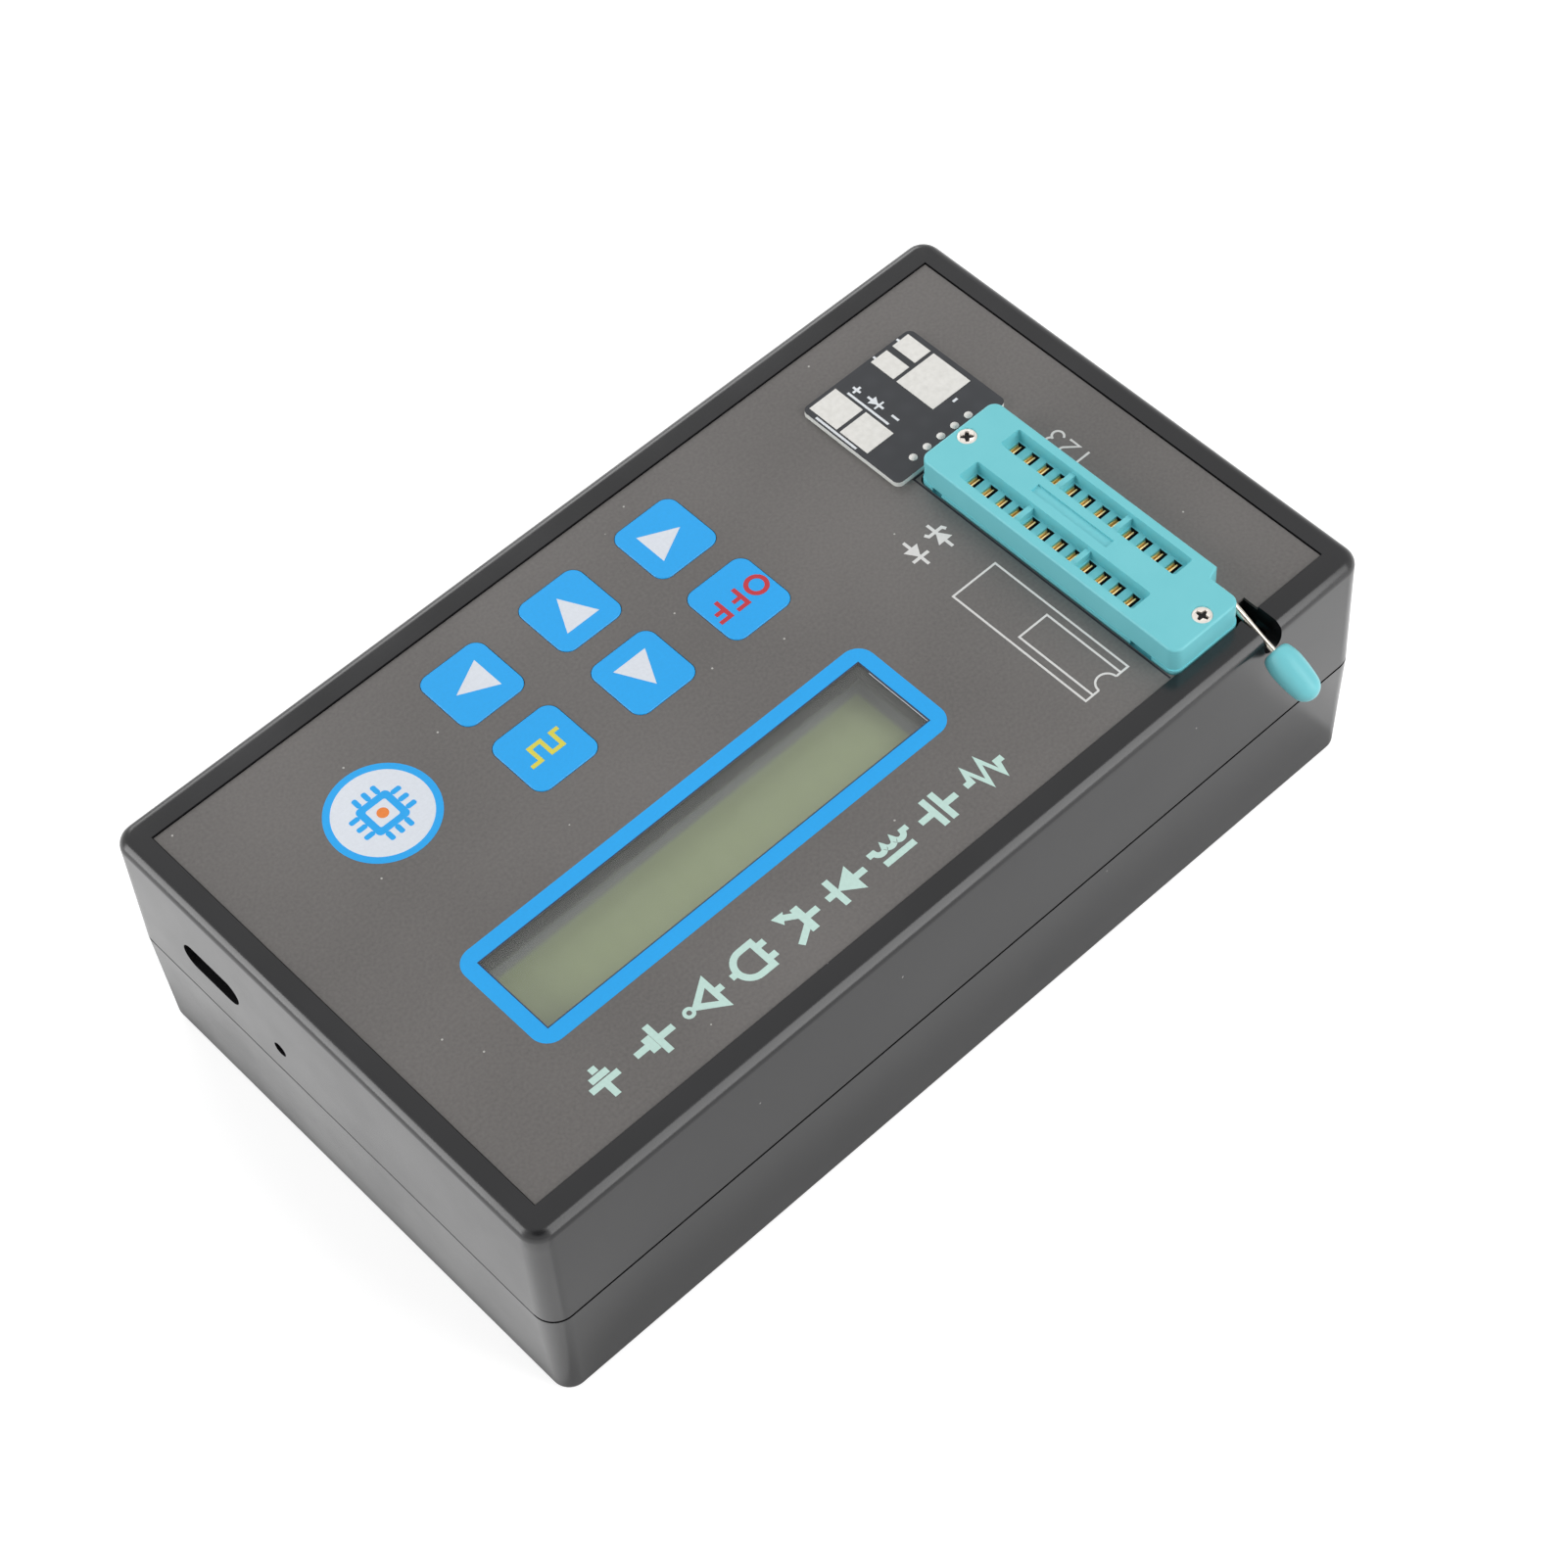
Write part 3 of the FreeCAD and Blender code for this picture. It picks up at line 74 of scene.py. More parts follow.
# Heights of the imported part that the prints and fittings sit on, in millimetres.
FILM_TOP = 40.05
KEY_TOP = 40.15
ADAPTER_TOP = 40.85
# A print stands this far above its ground, and reaches this far into it.
INK = 0.02
INK_ROOT = 0.01
# Points of packed triangles nearer than this are joined, in millimetres.
WELD = 0.001
# Edges steeper than this angle in degrees stay sharp.
SHARP_FROM = 28
# A wave texture shows this many lines in one unit of its scale.
WAVES = 20
# Points of an outline nearer than this are one, in millimetres.
SAME_POINT = 1e-5
# A patch counts only where its sides span more than this, in square millimetres.
NO_AREA = 1e-9
# Least cosine at a mitred corner, so that it reaches out by one line width at most.
MITRE_LIMIT = 0.5
# A swept wire has this many rings along it and sides round it.
WIRE_RINGS = 96
WIRE_SIDES = 28


def linear(colour: str) -> Four:
    """Turn an sRGB hex colour to linear.

    Args:
        colour: Six hex digits with a leading hash.

    Returns:
        Linear red, green and blue, and an alpha of 1.
    """
    parts = [int(colour[i : i + 2], 16) / 255 for i in (1, 3, 5)]
    red, green, blue = [c / 12.92 if c <= 0.04045 else ((c + 0.055) / 1.055) ** 2.4 for c in parts]
    return red, green, blue, 1.0


def per_mm(size: float) -> float:
    """Texture scale at which one cell of a pattern is size millimetres wide."""
    return 1.0 / (size * MM)


def add(
    tree: Tree, kind: str, inputs: dict[str | int, object] | None = None, **settings: object
) -> bpy.types.Node:
    """Add one node with its settings and links.

    Args:
        tree: Shader or geometry tree that gets the node.
        kind: Blender's name for the node type.
        inputs: Socket name or index to a value, an output socket, or a node whose first output feeds it.
        **settings: Properties of the node itself.

    Returns:
        The new node.
    """
    node = tree.nodes.new(kind)
    for name, value in settings.items():
        setattr(node, name, value)
    for key, value in (inputs or {}).items():
        source = value.outputs[0] if isinstance(value, bpy.types.Node) else value
        if isinstance(source, Socket):
            tree.links.new(source, node.inputs[key])
        else:
            node.inputs[key].default_value = source
    return node


@dataclass(frozen=True)
class Finish:
    """A surface finish: what the material is, and how its surface was made."""

    name: str
    colour: str
    roughness: float

    def material(self) -> bpy.types.Material:
        """Make the material on first use and hand the same one out afterwards.

        Returns:
            The Blender material of this finish.
        """
        found = bpy.data.materials.get(self.name)
        if found is not None:
            return found
        material = bpy.data.materials.new(self.name)
        material.use_nodes = True
        material.diffuse_color = linear(self.colour)
        tree = material.node_tree
        tree.nodes.clear()
        coords = add(tree, "ShaderNodeTexCoord").outputs["Object"]
        add(tree, "ShaderNodeOutputMaterial", {"Surface": self.paint(tree, coords)})
        return material

    def paint(self, tree: Tree, coords: Socket) -> Socket:
        """Build the shader; each kind of finish has its own.

        Args:
            tree: Tree of the material.
            coords: Object coordinates, in metres.

        Returns:
            The shader's output socket.
        """
        raise NotImplementedError

    def specked(self, tree: Tree, coords: Socket, tone: Socket, speck: str, scatter: Place) -> Socket:
        """Sprinkle sparse round specks over a tone.

        Args:
            tree: Tree of the material.
            coords: Object coordinates, in metres.
            tone: Colour below the specks.
            speck: Colour of the specks.
            scatter: Spacing in millimetres, radius as a share of it, and share of the places that are taken.

        Returns:
            The colour with the specks.
        """
        spacing, radius, share = scatter
        if share <= 0:
            return tone
        cell = add(tree, "ShaderNodeTexVoronoi", {"Vector": coords, "Scale": per_mm(spacing)}).outputs
        near = add(tree, "ShaderNodeMath", {0: cell["Distance"], 1: radius}, operation="LESS_THAN")
        pick = add(tree, "ShaderNodeSeparateColor", {0: cell["Color"]})
        some = add(tree, "ShaderNodeMath", {0: pick, 1: share}, operation="LESS_THAN")
        dot = add(tree, "ShaderNodeMath", {0: near, 1: some}, operation="MULTIPLY")
        return add(tree, "ShaderNodeMix", {0: dot, 6: tone, 7: linear(speck)}, data_type="RGBA").outputs[2]

    def crossed(self, tree: Tree, coords: Socket, line_mm: float, distortion: float) -> bpy.types.Node:
        """Cross two sets of lines, as of threads or electrodes.

        Args:
            tree: Tree of the material.
            coords: Object coordinates, in metres.
            line_mm: Width of a line in millimetres.
            distortion: How far the lines waver.

        Returns:
            The node that gives the product of both sets.
        """
        lines = {"Vector": coords, "Scale": per_mm(line_mm) / WAVES, "Distortion": distortion}
        ways = [add(tree, "ShaderNodeTexWave", lines, bands_direction=axis).outputs["Fac"] for axis in "XY"]
        return add(tree, "ShaderNodeMath", {0: ways[0], 1: ways[1]}, operation="MULTIPLY")


@dataclass(frozen=True)
class MouldedPlastic(Finish):
    """Injection-moulded plastic: fine cavity texture, faint flow clouds and a little dust."""

    pale: str = "#ffffff"
    grain_mm: float = 0.3
    grain_depth_mm: float = 0.004
    cloud_mm: float = 14.0
    dust_share: float = 0.0
    sheen: float = 0.5

    def paint(self, tree: Tree, coords: Socket) -> Socket:
        """Grain in the bump, clouds in colour and gloss, dust as sparse pale specks.

        Args:
            tree: Tree of the material.
            coords: Object coordinates, in metres.

        Returns:
            The shader's output socket.
        """
        fine = {"Vector": coords, "Scale": per_mm(self.grain_mm), "Detail": 2.0}
        grain = add(tree, "ShaderNodeTexNoise", fine)
        broad = {"Vector": coords, "Scale": per_mm(self.cloud_mm), "Detail": 4.0}
        cloud = add(tree, "ShaderNodeTexNoise", broad)
        tones = {0: cloud, 6: linear(self.colour), 7: linear(self.pale)}
        tone = add(tree, "ShaderNodeMix", tones, data_type="RGBA").outputs[2]
        tone = self.specked(tree, coords, tone, "#8d8c8a", (4.0, 0.045, self.dust_share))
        rough = {0: cloud, 1: 0.3, 2: 0.7, 3: self.roughness - 0.04, 4: self.roughness + 0.05}
        gloss = add(tree, "ShaderNodeMapRange", rough)
        relief = {"Height": grain, "Distance": self.grain_depth_mm * MM, "Strength": 0.6}
        shine = {"Roughness": gloss, "IOR": 1.53, "Specular IOR Level": self.sheen}
        shine["Normal"] = add(tree, "ShaderNodeBump", relief)
        return add(tree, "ShaderNodeBsdfPrincipled", {"Base Color": tone, **shine}).outputs[0]


@dataclass(frozen=True)
class PrintedFilm(Finish):
    """Matt hard-coated polyester film printed on its back: even grain over the ink, and tiny pale specks."""

    grain_mm: float = 0.45
    grain_contrast: float = 0.05
    speck_share: float = 0.0

    def paint(self, tree: Tree, coords: Socket) -> Socket:
        """Grain in colour and bump, specks where a cell of a fine scatter is picked.

        Args:
            tree: Tree of the material.
            coords: Object coordinates, in metres.

        Returns:
            The shader's output socket.
        """
        fine = {"Vector": coords, "Scale": per_mm(self.grain_mm), "Detail": 3.0}
        grain = add(tree, "ShaderNodeTexNoise", fine)
        drift = add(tree, "ShaderNodeTexNoise", {"Vector": coords, "Scale": per_mm(30.0), "Detail": 2.0})
        both = add(tree, "ShaderNodeMath", {0: grain, 1: drift}, operation="ADD")
        span = self.grain_contrast
        light = add(tree, "ShaderNodeMapRange", {0: both, 1: 0.7, 2: 1.3, 3: 1 - span, 4: 1 + span})
        tone = add(tree, "ShaderNodeHueSaturation", {"Color": linear(self.colour), "Value": light}).outputs[0]
        tone = self.specked(tree, coords, tone, "#b9b7b3", (2.4, 0.06, self.speck_share))
        bump = add(tree, "ShaderNodeBump", {"Height": grain, "Distance": 0.006 * MM, "Strength": 0.7})
        surface = {"Base Color": tone, "Roughness": self.roughness, "IOR": 1.5, "Normal": bump}
        return add(tree, "ShaderNodeBsdfPrincipled", surface).outputs[0]


@dataclass(frozen=True)
class PlatedMetal(Finish):
    """Drawn, stamped or plated metal: fine lines along the working direction and a mottled sheen."""

    lines_mm: Place = (0.15, 0.15, 2.0)
    mottle: float = 0.09

    def paint(self, tree: Tree, coords: Socket) -> Socket:
        """Stretched noise for the working lines, round noise for the sheen.

        Args:
            tree: Tree of the material.
            coords: Object coordinates, in metres.

        Returns:
            The shader's output socket.
        """
        scale = [per_mm(size) for size in self.lines_mm]
        stretched = add(tree, "ShaderNodeMapping", {"Vector": coords, "Scale": scale})
        lines = add(tree, "ShaderNodeTexNoise", {"Vector": stretched, "Scale": 1.0, "Detail": 2.0})
        mottle = add(tree, "ShaderNodeTexNoise", {"Vector": coords, "Scale": per_mm(1.2), "Detail": 2.0})
        levels = {0: mottle, 1: 0.3, 2: 0.7, 3: 1 - self.mottle, 4: 1 + self.mottle / 2}
        light = add(tree, "ShaderNodeMapRange", levels)
        tone = add(tree, "ShaderNodeHueSaturation", {"Color": linear(self.colour), "Value": light})
        rough = {0: lines, 1: 0.3, 2: 0.7, 3: self.roughness - 0.06, 4: self.roughness + 0.08}
        gloss = add(tree, "ShaderNodeMapRange", rough)
        bump = add(tree, "ShaderNodeBump", {"Height": lines, "Distance": 0.003 * MM, "Strength": 0.5})
        surface = {"Base Color": tone, "Metallic": 1.0, "Roughness": gloss, "Normal": bump}
        return add(tree, "ShaderNodeBsdfPrincipled", surface).outputs[0]


@dataclass(frozen=True)
class Laminate(Finish):
    """Glass-cloth laminate under solder mask: a faint weave through the mask and a pale sawn edge."""

    edge: str = "#b9b6a4"
    thread_mm: float = 0.55

    def paint(self, tree: Tree, coords: Socket) -> Socket:
        """Two crossed sets of threads for the weave; upright faces take the colour of the core.

        Args:
            tree: Tree of the material.
            coords: Object coordinates, in metres.

        Returns:
            The shader's output socket.
        """
        weave = self.crossed(tree, coords, self.thread_mm, 0.4)
        light = add(tree, "ShaderNodeMapRange", {0: weave, 3: 0.92, 4: 1.08})
        mask = add(tree, "ShaderNodeHueSaturation", {"Color": linear(self.colour), "Value": light})
        normal = add(tree, "ShaderNodeNewGeometry").outputs["Normal"]
        upright = add(tree, "ShaderNodeSeparateXYZ", {0: normal}).outputs["Z"]
        flat = add(tree, "ShaderNodeMath", {0: upright}, operation="ABSOLUTE")
        top = add(tree, "ShaderNodeMath", {0: flat, 1: 0.5}, operation="GREATER_THAN")
        tones = {0: top, 6: linear(self.edge), 7: mask}
        tone = add(tree, "ShaderNodeMix", tones, data_type="RGBA").outputs[2]
        bump = add(tree, "ShaderNodeBump", {"Height": weave, "Distance": 0.004 * MM, "Strength": 0.4})
        surface = {"Base Color": tone, "Roughness": self.roughness, "IOR": 1.52, "Normal": bump}
        return add(tree, "ShaderNodeBsdfPrincipled", surface).outputs[0]


@dataclass(frozen=True)
class ClearSheet(Finish):
    """Clear hard-coated sheet: see-through and slightly frosted; light passes it to what lies behind."""

    haze: float = 0.035

    def paint(self, tree: Tree, coords: Socket) -> Socket:
        """A refracting surface that lets shadow rays through, with faint wipe marks in its gloss.

        Args:
            tree: Tree of the material.
            coords: Object coordinates, in metres.

        Returns:
            The shader's output socket.
        """
        wipe = add(tree, "ShaderNodeTexNoise", {"Vector": coords, "Scale": per_mm(9.0), "Detail": 4.0})
        rough = {0: wipe, 1: 0.4, 2: 0.7, 3: self.roughness, 4: self.roughness + 0.05}
        surface = {"Base Color": linear(self.colour), "Roughness": add(tree, "ShaderNodeMapRange", rough)}
        surface |= {"IOR": 1.49, "Transmission Weight": 1.0 - self.haze}
        sheet = add(tree, "ShaderNodeBsdfPrincipled", surface)
        rays = add(tree, "ShaderNodeLightPath").outputs
        passing = {0: rays["Is Shadow Ray"], 1: rays["Is Diffuse Ray"]}
        plain = add(tree, "ShaderNodeMath", passing, operation="MAXIMUM")
        clear = add(tree, "ShaderNodeBsdfTransparent", {"Color": linear(self.colour)})
        return add(tree, "ShaderNodeMixShader", {0: plain, 1: sheet, 2: clear}).outputs[0]


@dataclass(frozen=True)
class DisplayGlass(Finish):
    """Reflective liquid-crystal glass at rest: a grey-green ground with a barely seen electrode grid."""

    grid_mm: float = 0.6

    def paint(self, tree: Tree, coords: Socket) -> Socket:
        """Crossed fine lines for the electrodes, a slow drift for the polariser.

        Args:
            tree: Tree of the material.
            coords: Object coordinates, in metres.

        Returns:
            The shader's output socket.
        """
        grid = self.crossed(tree, coords, self.grid_mm, 0.0)
        drift = add(tree, "ShaderNodeTexNoise", {"Vector": coords, "Scale": per_mm(40.0), "Detail": 1.0})
        level = add(tree, "ShaderNodeMath", {0: grid, 1: 0.25, 2: drift}, operation="MULTIPLY_ADD")
        light = add(tree, "ShaderNodeMapRange", {0: level, 1: 0.3, 2: 0.9, 3: 0.95, 4: 1.05})
        tone = add(tree, "ShaderNodeHueSaturation", {"Color": linear(self.colour), "Value": light})
        surface = {"Base Color": tone, "Roughness": self.roughness, "IOR": 1.52}
        return add(tree, "ShaderNodeBsdfPrincipled", surface).outputs[0]


# Black ABS from a spark-eroded mould: near black in itself, pale only where it mirrors the white room.
CASE_ABS = MouldedPlastic("abs_black_satin_moulded", "#1a1a1b", 0.22, pale="#222224", dust_share=0.12)
# Hard-coated polyester film with a warm grey print behind it: dull, evenly grained.
FILM_GREY = PrintedFilm("polyester_film_grey_print", "#686563", 0.5, grain_contrast=0.16, speck_share=0.12)
# The same film over blue: a clear flat colour with hardly any grain.
FILM_BLUE = PrintedFilm("polyester_film_blue_print", "#1eaaf5", 0.45, grain_contrast=0.03, speck_share=0.04)
INK_BLUE = PrintedFilm("screen_ink_blue", "#1eaaf5", 0.45, grain_contrast=0.03, speck_share=0.04)
# Screen inks under the matt coat: flat colours with a soft sheen.
INK_WHITE = PrintedFilm("screen_ink_white", "#e3e8f0", 0.45, grain_contrast=0.04)
INK_PALE = PrintedFilm("screen_ink_pale", "#dddcda", 0.45, grain_contrast=0.04)
INK_RED = PrintedFilm("screen_ink_red", "#c4303c", 0.45)
INK_YELLOW = PrintedFilm("screen_ink_yellow", "#e0d750", 0.45)
INK_MINT = PrintedFilm("screen_ink_mint", "#c6e4db", 0.45)
INK_ORANGE = PrintedFilm("screen_ink_orange", "#f0873a", 0.45)
# Painted shadow: dark inks for thin lines at cut edges, where the film's edges and gaps lie in shade.
INK_SHADOW_BLACK = PrintedFilm("painted_shadow_black", "#1a1a22", 0.8)
INK_SHADOW_NAVY = PrintedFilm("painted_shadow_navy", "#24345c", 0.4)
# Painted shade under the window: a matt grey band that stands for the bezel's shadow on the glass, lightened
# by a painted veil of the film's haze.
INK_PAINTED_SHADE = PrintedFilm("painted_bezel_shade_grey", "#8a8b90", 0.8)
# Clear polyester with a fine matt coat: a thin grey veil that softens what lies deeper.
WINDOW_CLEAR = ClearSheet("polyester_window_hard_coated", "#f4f6f2", 0.2)
# Display glass without power: an even grey-green.
LCD_GROUND = DisplayGlass("display_glass_grey_green", "#b0bb8e", 0.3)
# Glass-filled nylon in teal: satin, with faint flow clouds from the gate.
TEAL_NYLON = MouldedPlastic(
    "nylon_teal_glass_filled", "#76ced7", 0.34, pale="#81d6de", grain_mm=0.2, cloud_mm=6.0, sheen=0.28
)
# Stamped spring brass: yellow, with fine lines from the rolling.
SPRING_BRASS = PlatedMetal("brass_spring_stamped", "#f3d798", 0.42, lines_mm=(2.0, 0.15, 0.15))
# Drawn steel wire under nickel: warm white and bright.
NICKEL_WIRE = PlatedMetal("steel_wire_nickel_plated", "#d9d3c6", 0.25, lines_mm=(0.12, 3.0, 0.12))
# Small machine screws under nickel: whiter than zinc, softly polished.
NICKEL_SCREW = PlatedMetal("steel_screw_nickel_plated", "#efe8e0", 0.45, lines_mm=(0.3, 0.3, 0.3))
# Zinc-plated screws and nuts: grey and a little dull.
ZINC_STEEL = PlatedMetal("steel_zinc_plated", "#c3bfb8", 0.32, lines_mm=(0.3, 0.3, 0.3))
# Deep-drawn stainless sheet: bright grey with lines along the draw.
STAINLESS = PlatedMetal("stainless_drawn_sheet", "#b4b4b3", 0.3, lines_mm=(3.0, 0.15, 0.15))
# Immersion tin on copper: pale and matt.
DIPPED_TIN = PlatedMetal("tin_immersion_matt", "#d9d8d5", 0.82, lines_mm=(0.8, 0.8, 0.8), mottle=0.02)
# Thin gold on copper: deep yellow and shiny.
GOLD_FLASH = PlatedMetal("gold_flashed_contacts", "#d8b45a", 0.25, lines_mm=(2.0, 0.2, 0.2))
# Steel sheet under black oxide: a dull black that drinks light.
OXIDE_STEEL = MouldedPlastic("steel_sheet_black_oxide", "#131314", 0.65, pale="#1b1b1c", sheen=0.25)
# Black solder mask over glass cloth: deep and glossy; its sawn edge is pale, whitened further as a painted
# highlight.
MASK_BLACK = Laminate("laminate_black_mask", "#34363a", 0.25, edge="#eef0ec")
# Green solder mask over glass cloth: glossy, with the weave just showing.
MASK_GREEN = Laminate("laminate_green_mask", "#14562f", 0.3)
# Epoxy silkscreen on the mask: chalky white.
SILKSCREEN = PrintedFilm("silkscreen_white_epoxy", "#e6eaee", 0.5, grain_contrast=0.06)
# Moulded nylon, black and natural: satin, the natural one waxy.
BLACK_NYLON = MouldedPlastic("nylon_black_moulded", "#141415", 0.42, pale="#1b1b1c")
WHITE_NYLON = MouldedPlastic("nylon_natural_moulded", "#d8d6cc", 0.45, pale="#e4e2d8")
# Cast epoxy lens: smooth and milky.
CLEAR_EPOXY = MouldedPlastic("epoxy_cast_lens", "#cfd0c2", 0.15, pale="#dcdccf")
# Shrink sleeve of the cell: glossy blue, drawn tight.
SHRINK_SLEEVE = MouldedPlastic("pvc_shrink_sleeve", "#1c5da8", 0.25, pale="#2468b4", grain_mm=1.0)


class Bodies(Enum):
    """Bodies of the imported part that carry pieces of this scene."""

    CASE = "case"
    LEVER = "lever"


class KeySign(Enum):
    """What is printed on each film key; the name gives the key's body."""

    LEFT = "left"
    DOWN = "down"
    RIGHT = "right"
    OFF = "off"
    UP = "up"
    TEST = "test"


def kept(bm: bmesh.types.BMesh, name: str) -> Mesh:
    """Turn a working mesh into a named mesh and free it.

    Args:
        bm: Working mesh.
        name: Name of the mesh.

    Returns:
        The new mesh.
    """
    mesh = bpy.data.meshes.new(name)
    bm.to_mesh(mesh)
    bm.free()
    return mesh


def slab(shapes: list[Shape], z0: float, z1: float, name: str) -> Mesh:
    """Flat solid from outlines, joined where they overlap, between two heights.

    Args:
        shapes: Outlines in millimetres; the first loop is the outside and the rest are holes.
        z0: Lower height in millimetres.
        z1: Upper height in millimetres.
        name: Name of the mesh.

    Returns:
        A closed mesh in metres.
    """
    corners: list[Vector] = []
    patches: list[list[int]] = []
    for shape in shapes:
        start = len(corners)
        corners += [Vector(point) for loop in shape for point in loop]
        for patch in tessellate_polygon([[Vector((x, y, 0.0)) for x, y in loop] for loop in shape]):
            a, b, c = [corners[start + i] for i in patch]
            turn = (b - a).cross(c - a)
            if abs(turn) > NO_AREA:
                patches.append([start + i for i in (patch if turn > 0 else patch[::-1])])
    plan, _, found, _, _, owners = delaunay_2d_cdt(corners, [], patches, 1, SAME_POINT)
    faces = [face for face, owner in zip(found, owners) if owner]
    bm = bmesh.new()
    low = [bm.verts.new((p.x * MM, p.y * MM, z0 * MM)) for p in plan]
    high = [bm.verts.new((p.x * MM, p.y * MM, z1 * MM)) for p in plan]
    sides = {(face[i - 1], face[i]) for face in faces for i in range(len(face))}
    for face in faces:
        bm.faces.new([high[i] for i in face])
        bm.faces.new([low[i] for i in reversed(face)])
    for a, b in sides:
        if (b, a) not in sides:
            bm.faces.new((low[a], low[b], high[b], high[a]))
    loose = [v for v in bm.verts if not v.link_faces]
    bmesh.ops.delete(bm, geom=loose, context="VERTS")
    bmesh.ops.recalc_face_normals(bm, faces=bm.faces)
    return kept(bm, name)


def arc(cx: float, cy: float, radius: float, start: float, end: float, steps: int = 24) -> Loop:
    """Points on an arc, from one angle in degrees to another."""
    turns = [math.radians(start + (end - start) * i / steps) for i in range(steps + 1)]
    return [(cx + radius * math.cos(t), cy + radius * math.sin(t)) for t in turns]


def ring(cx: float, cy: float, radius: float, steps: int = 64) -> Loop:
    """Points round a full circle, without repeating the first."""
    return arc(cx, cy, radius, 0, 360, steps)[:-1]


def rounded(cx: float, cy: float, length: float, width: float, radius: float, steps: int = 8) -> Loop:
    """Rectangle with round corners about a centre.

    Args:
        cx: Centre along X.
        cy: Centre along Y.
        length: Size along X.
        width: Size along Y.
        radius: Radius of the corners.
        steps: Number of edges in a corner.

    Returns:
        One closed loop.
    """
    hx, hy = length / 2 - radius, width / 2 - radius
    points: Loop = []
    for sx, sy, turn in ((1, 1, 0), (-1, 1, 90), (-1, -1, 180), (1, -1, 270)):
        points += arc(cx + sx * hx, cy + sy * hy, radius, turn, turn + 90, steps)
    return points


def stroke(points: Loop, width: float, closed: bool = False) -> Shape:
    """Outline of a line of even width with mitred corners.

    Args:
        points: Corners of the line.
        width: Width of the line.
        closed: Whether the last point joins the first.

    Returns:
        One loop, or an outer and an inner loop for a closed line.
    """
    count = len(points)
    left: Loop = []
    right: Loop = []
    for i, (x, y) in enumerate(points):
        here = Vector((x, y))
        ways = []
        if closed or i > 0:
            ways.append((here - Vector(points[i - 1])).normalized())
        if closed or i < count - 1:
            ways.append((Vector(points[(i + 1) % count]) - here).normalized())
        along = sum(ways, Vector((0.0, 0.0))).normalized()
        side = Vector((-along.y, along.x))
        reach = width / 2 / max(MITRE_LIMIT, abs(along.dot(ways[0])))
        left.append(tuple(here + side * reach))
        right.append(tuple(here - side * reach))
    if closed:
        return [left, right]
    return [left + right[::-1]]


def strokes(lines: list[Loop], width: float) -> list[Shape]:
    """Outlines of several open lines of one width."""
    return [stroke(line, width) for line in lines]


def placed(shapes: list[Shape], x: float, y: float, turn: float = 0.0, size: float = 1.0) -> list[Shape]:
    """Copy of shapes, scaled, turned by degrees and moved."""
    c, s = math.cos(math.radians(turn)) * size, math.sin(math.radians(turn)) * size
    return [[[(x + c * a - s * b, y + s * a + c * b) for a, b in loop] for loop in shape] for shape in shapes]


def put(name: str, data: bpy.types.ID) -> Thing:
    """Make an object and link it to the scene.

    Args:
        name: Name of the object.
        data: Mesh, curve, lamp or camera that it shows.

    Returns:
        The new object.
    """
    thing = bpy.data.objects.new(name, data)
    bpy.context.scene.collection.objects.link(thing)
    return thing


def show(
    name: str, mesh: Mesh, finish: Finish, body: str = Bodies.CASE.value, smooth: float = 0.0
) -> Thing:
    """Put a finished mesh in the scene as a piece that rides on a body.

    Args:
        name: Name of the piece.
        mesh: Mesh in the part's frame, in metres.
        finish: Finish of its surface.
        body: CAD body that carries it.
        smooth: Angle in degrees up to which its edges are shaded smooth.

    Returns:
        The new object.
    """
    mesh.name = name
    mesh.materials.clear()
    mesh.materials.append(finish.material())
    if smooth > 0:
        mesh.shade_smooth()
        mesh.set_sharp_from_angle(angle=math.radians(smooth))
    piece = put(name, mesh)
    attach(piece, body)
    LOG.info("%s: %d faces on %s", name, len(mesh.polygons), body)
    return piece


def new_tree(name: str, sockets: dict[str, str]) -> Tree:
    """Empty geometry tree with named inputs and one geometry as its output.

    Args:
        name: Name of the tree.
        sockets: Name of each input to its type.

    Returns:
        The new tree.
    """
    tree = bpy.data.node_groups.new(name, "GeometryNodeTree")
    for label, kind in sockets.items():
        tree.interface.new_socket(label, in_out="INPUT", socket_type=f"NodeSocket{kind}")
    tree.interface.new_socket("Geometry", in_out="OUTPUT", socket_type="NodeSocketGeometry")
    return tree


@cache
def smoothing_tree() -> Tree:
    """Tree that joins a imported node's loose triangles and shades its curved faces smooth.

    Returns:
        The tree, made on first use.
    """
    tree = new_tree("smooth_by_angle", {"Geometry": "Geometry"})
    start = add(tree, "NodeGroupInput")
    bare = add(tree, "GeometryNodeRemoveAttribute", {"Geometry": start, "Name": "custom_normal"})
    joined = add(tree, "GeometryNodeMergeByDistance", {"Geometry": bare, "Distance": WELD * MM})
    soft = add(tree, "GeometryNodeSetShadeSmooth", {0: joined, "Shade Smooth": True}, domain="FACE")
    angle = add(tree, "GeometryNodeInputMeshEdgeAngle").outputs["Unsigned Angle"]
    limit = {0: angle, 1: math.radians(SHARP_FROM)}
    sharp = add(tree, "FunctionNodeCompare", limit, data_type="FLOAT", operation="GREATER_THAN")
    edges = {0: soft, "Selection": sharp, "Shade Smooth": False}
    add(tree, "NodeGroupOutput", {0: add(tree, "GeometryNodeSetShadeSmooth", edges, domain="EDGE")})
    return tree


def dress(finish: Finish, *nodes: str) -> None:
    """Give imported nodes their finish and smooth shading.

    Args:
        finish: Finish of their surface.
        *nodes: Names of the CAD nodes.
    """
    for node in nodes:
        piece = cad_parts[node]
        if not piece.material_slots:
            piece.data.materials.append(None)
        for slot in piece.material_slots:
            slot.material = finish.material()
        piece.modifiers.new("smooth_by_angle", "NODES").node_group = smoothing_tree()
        LOG.info("%s: dressed in %s", node, finish.name)


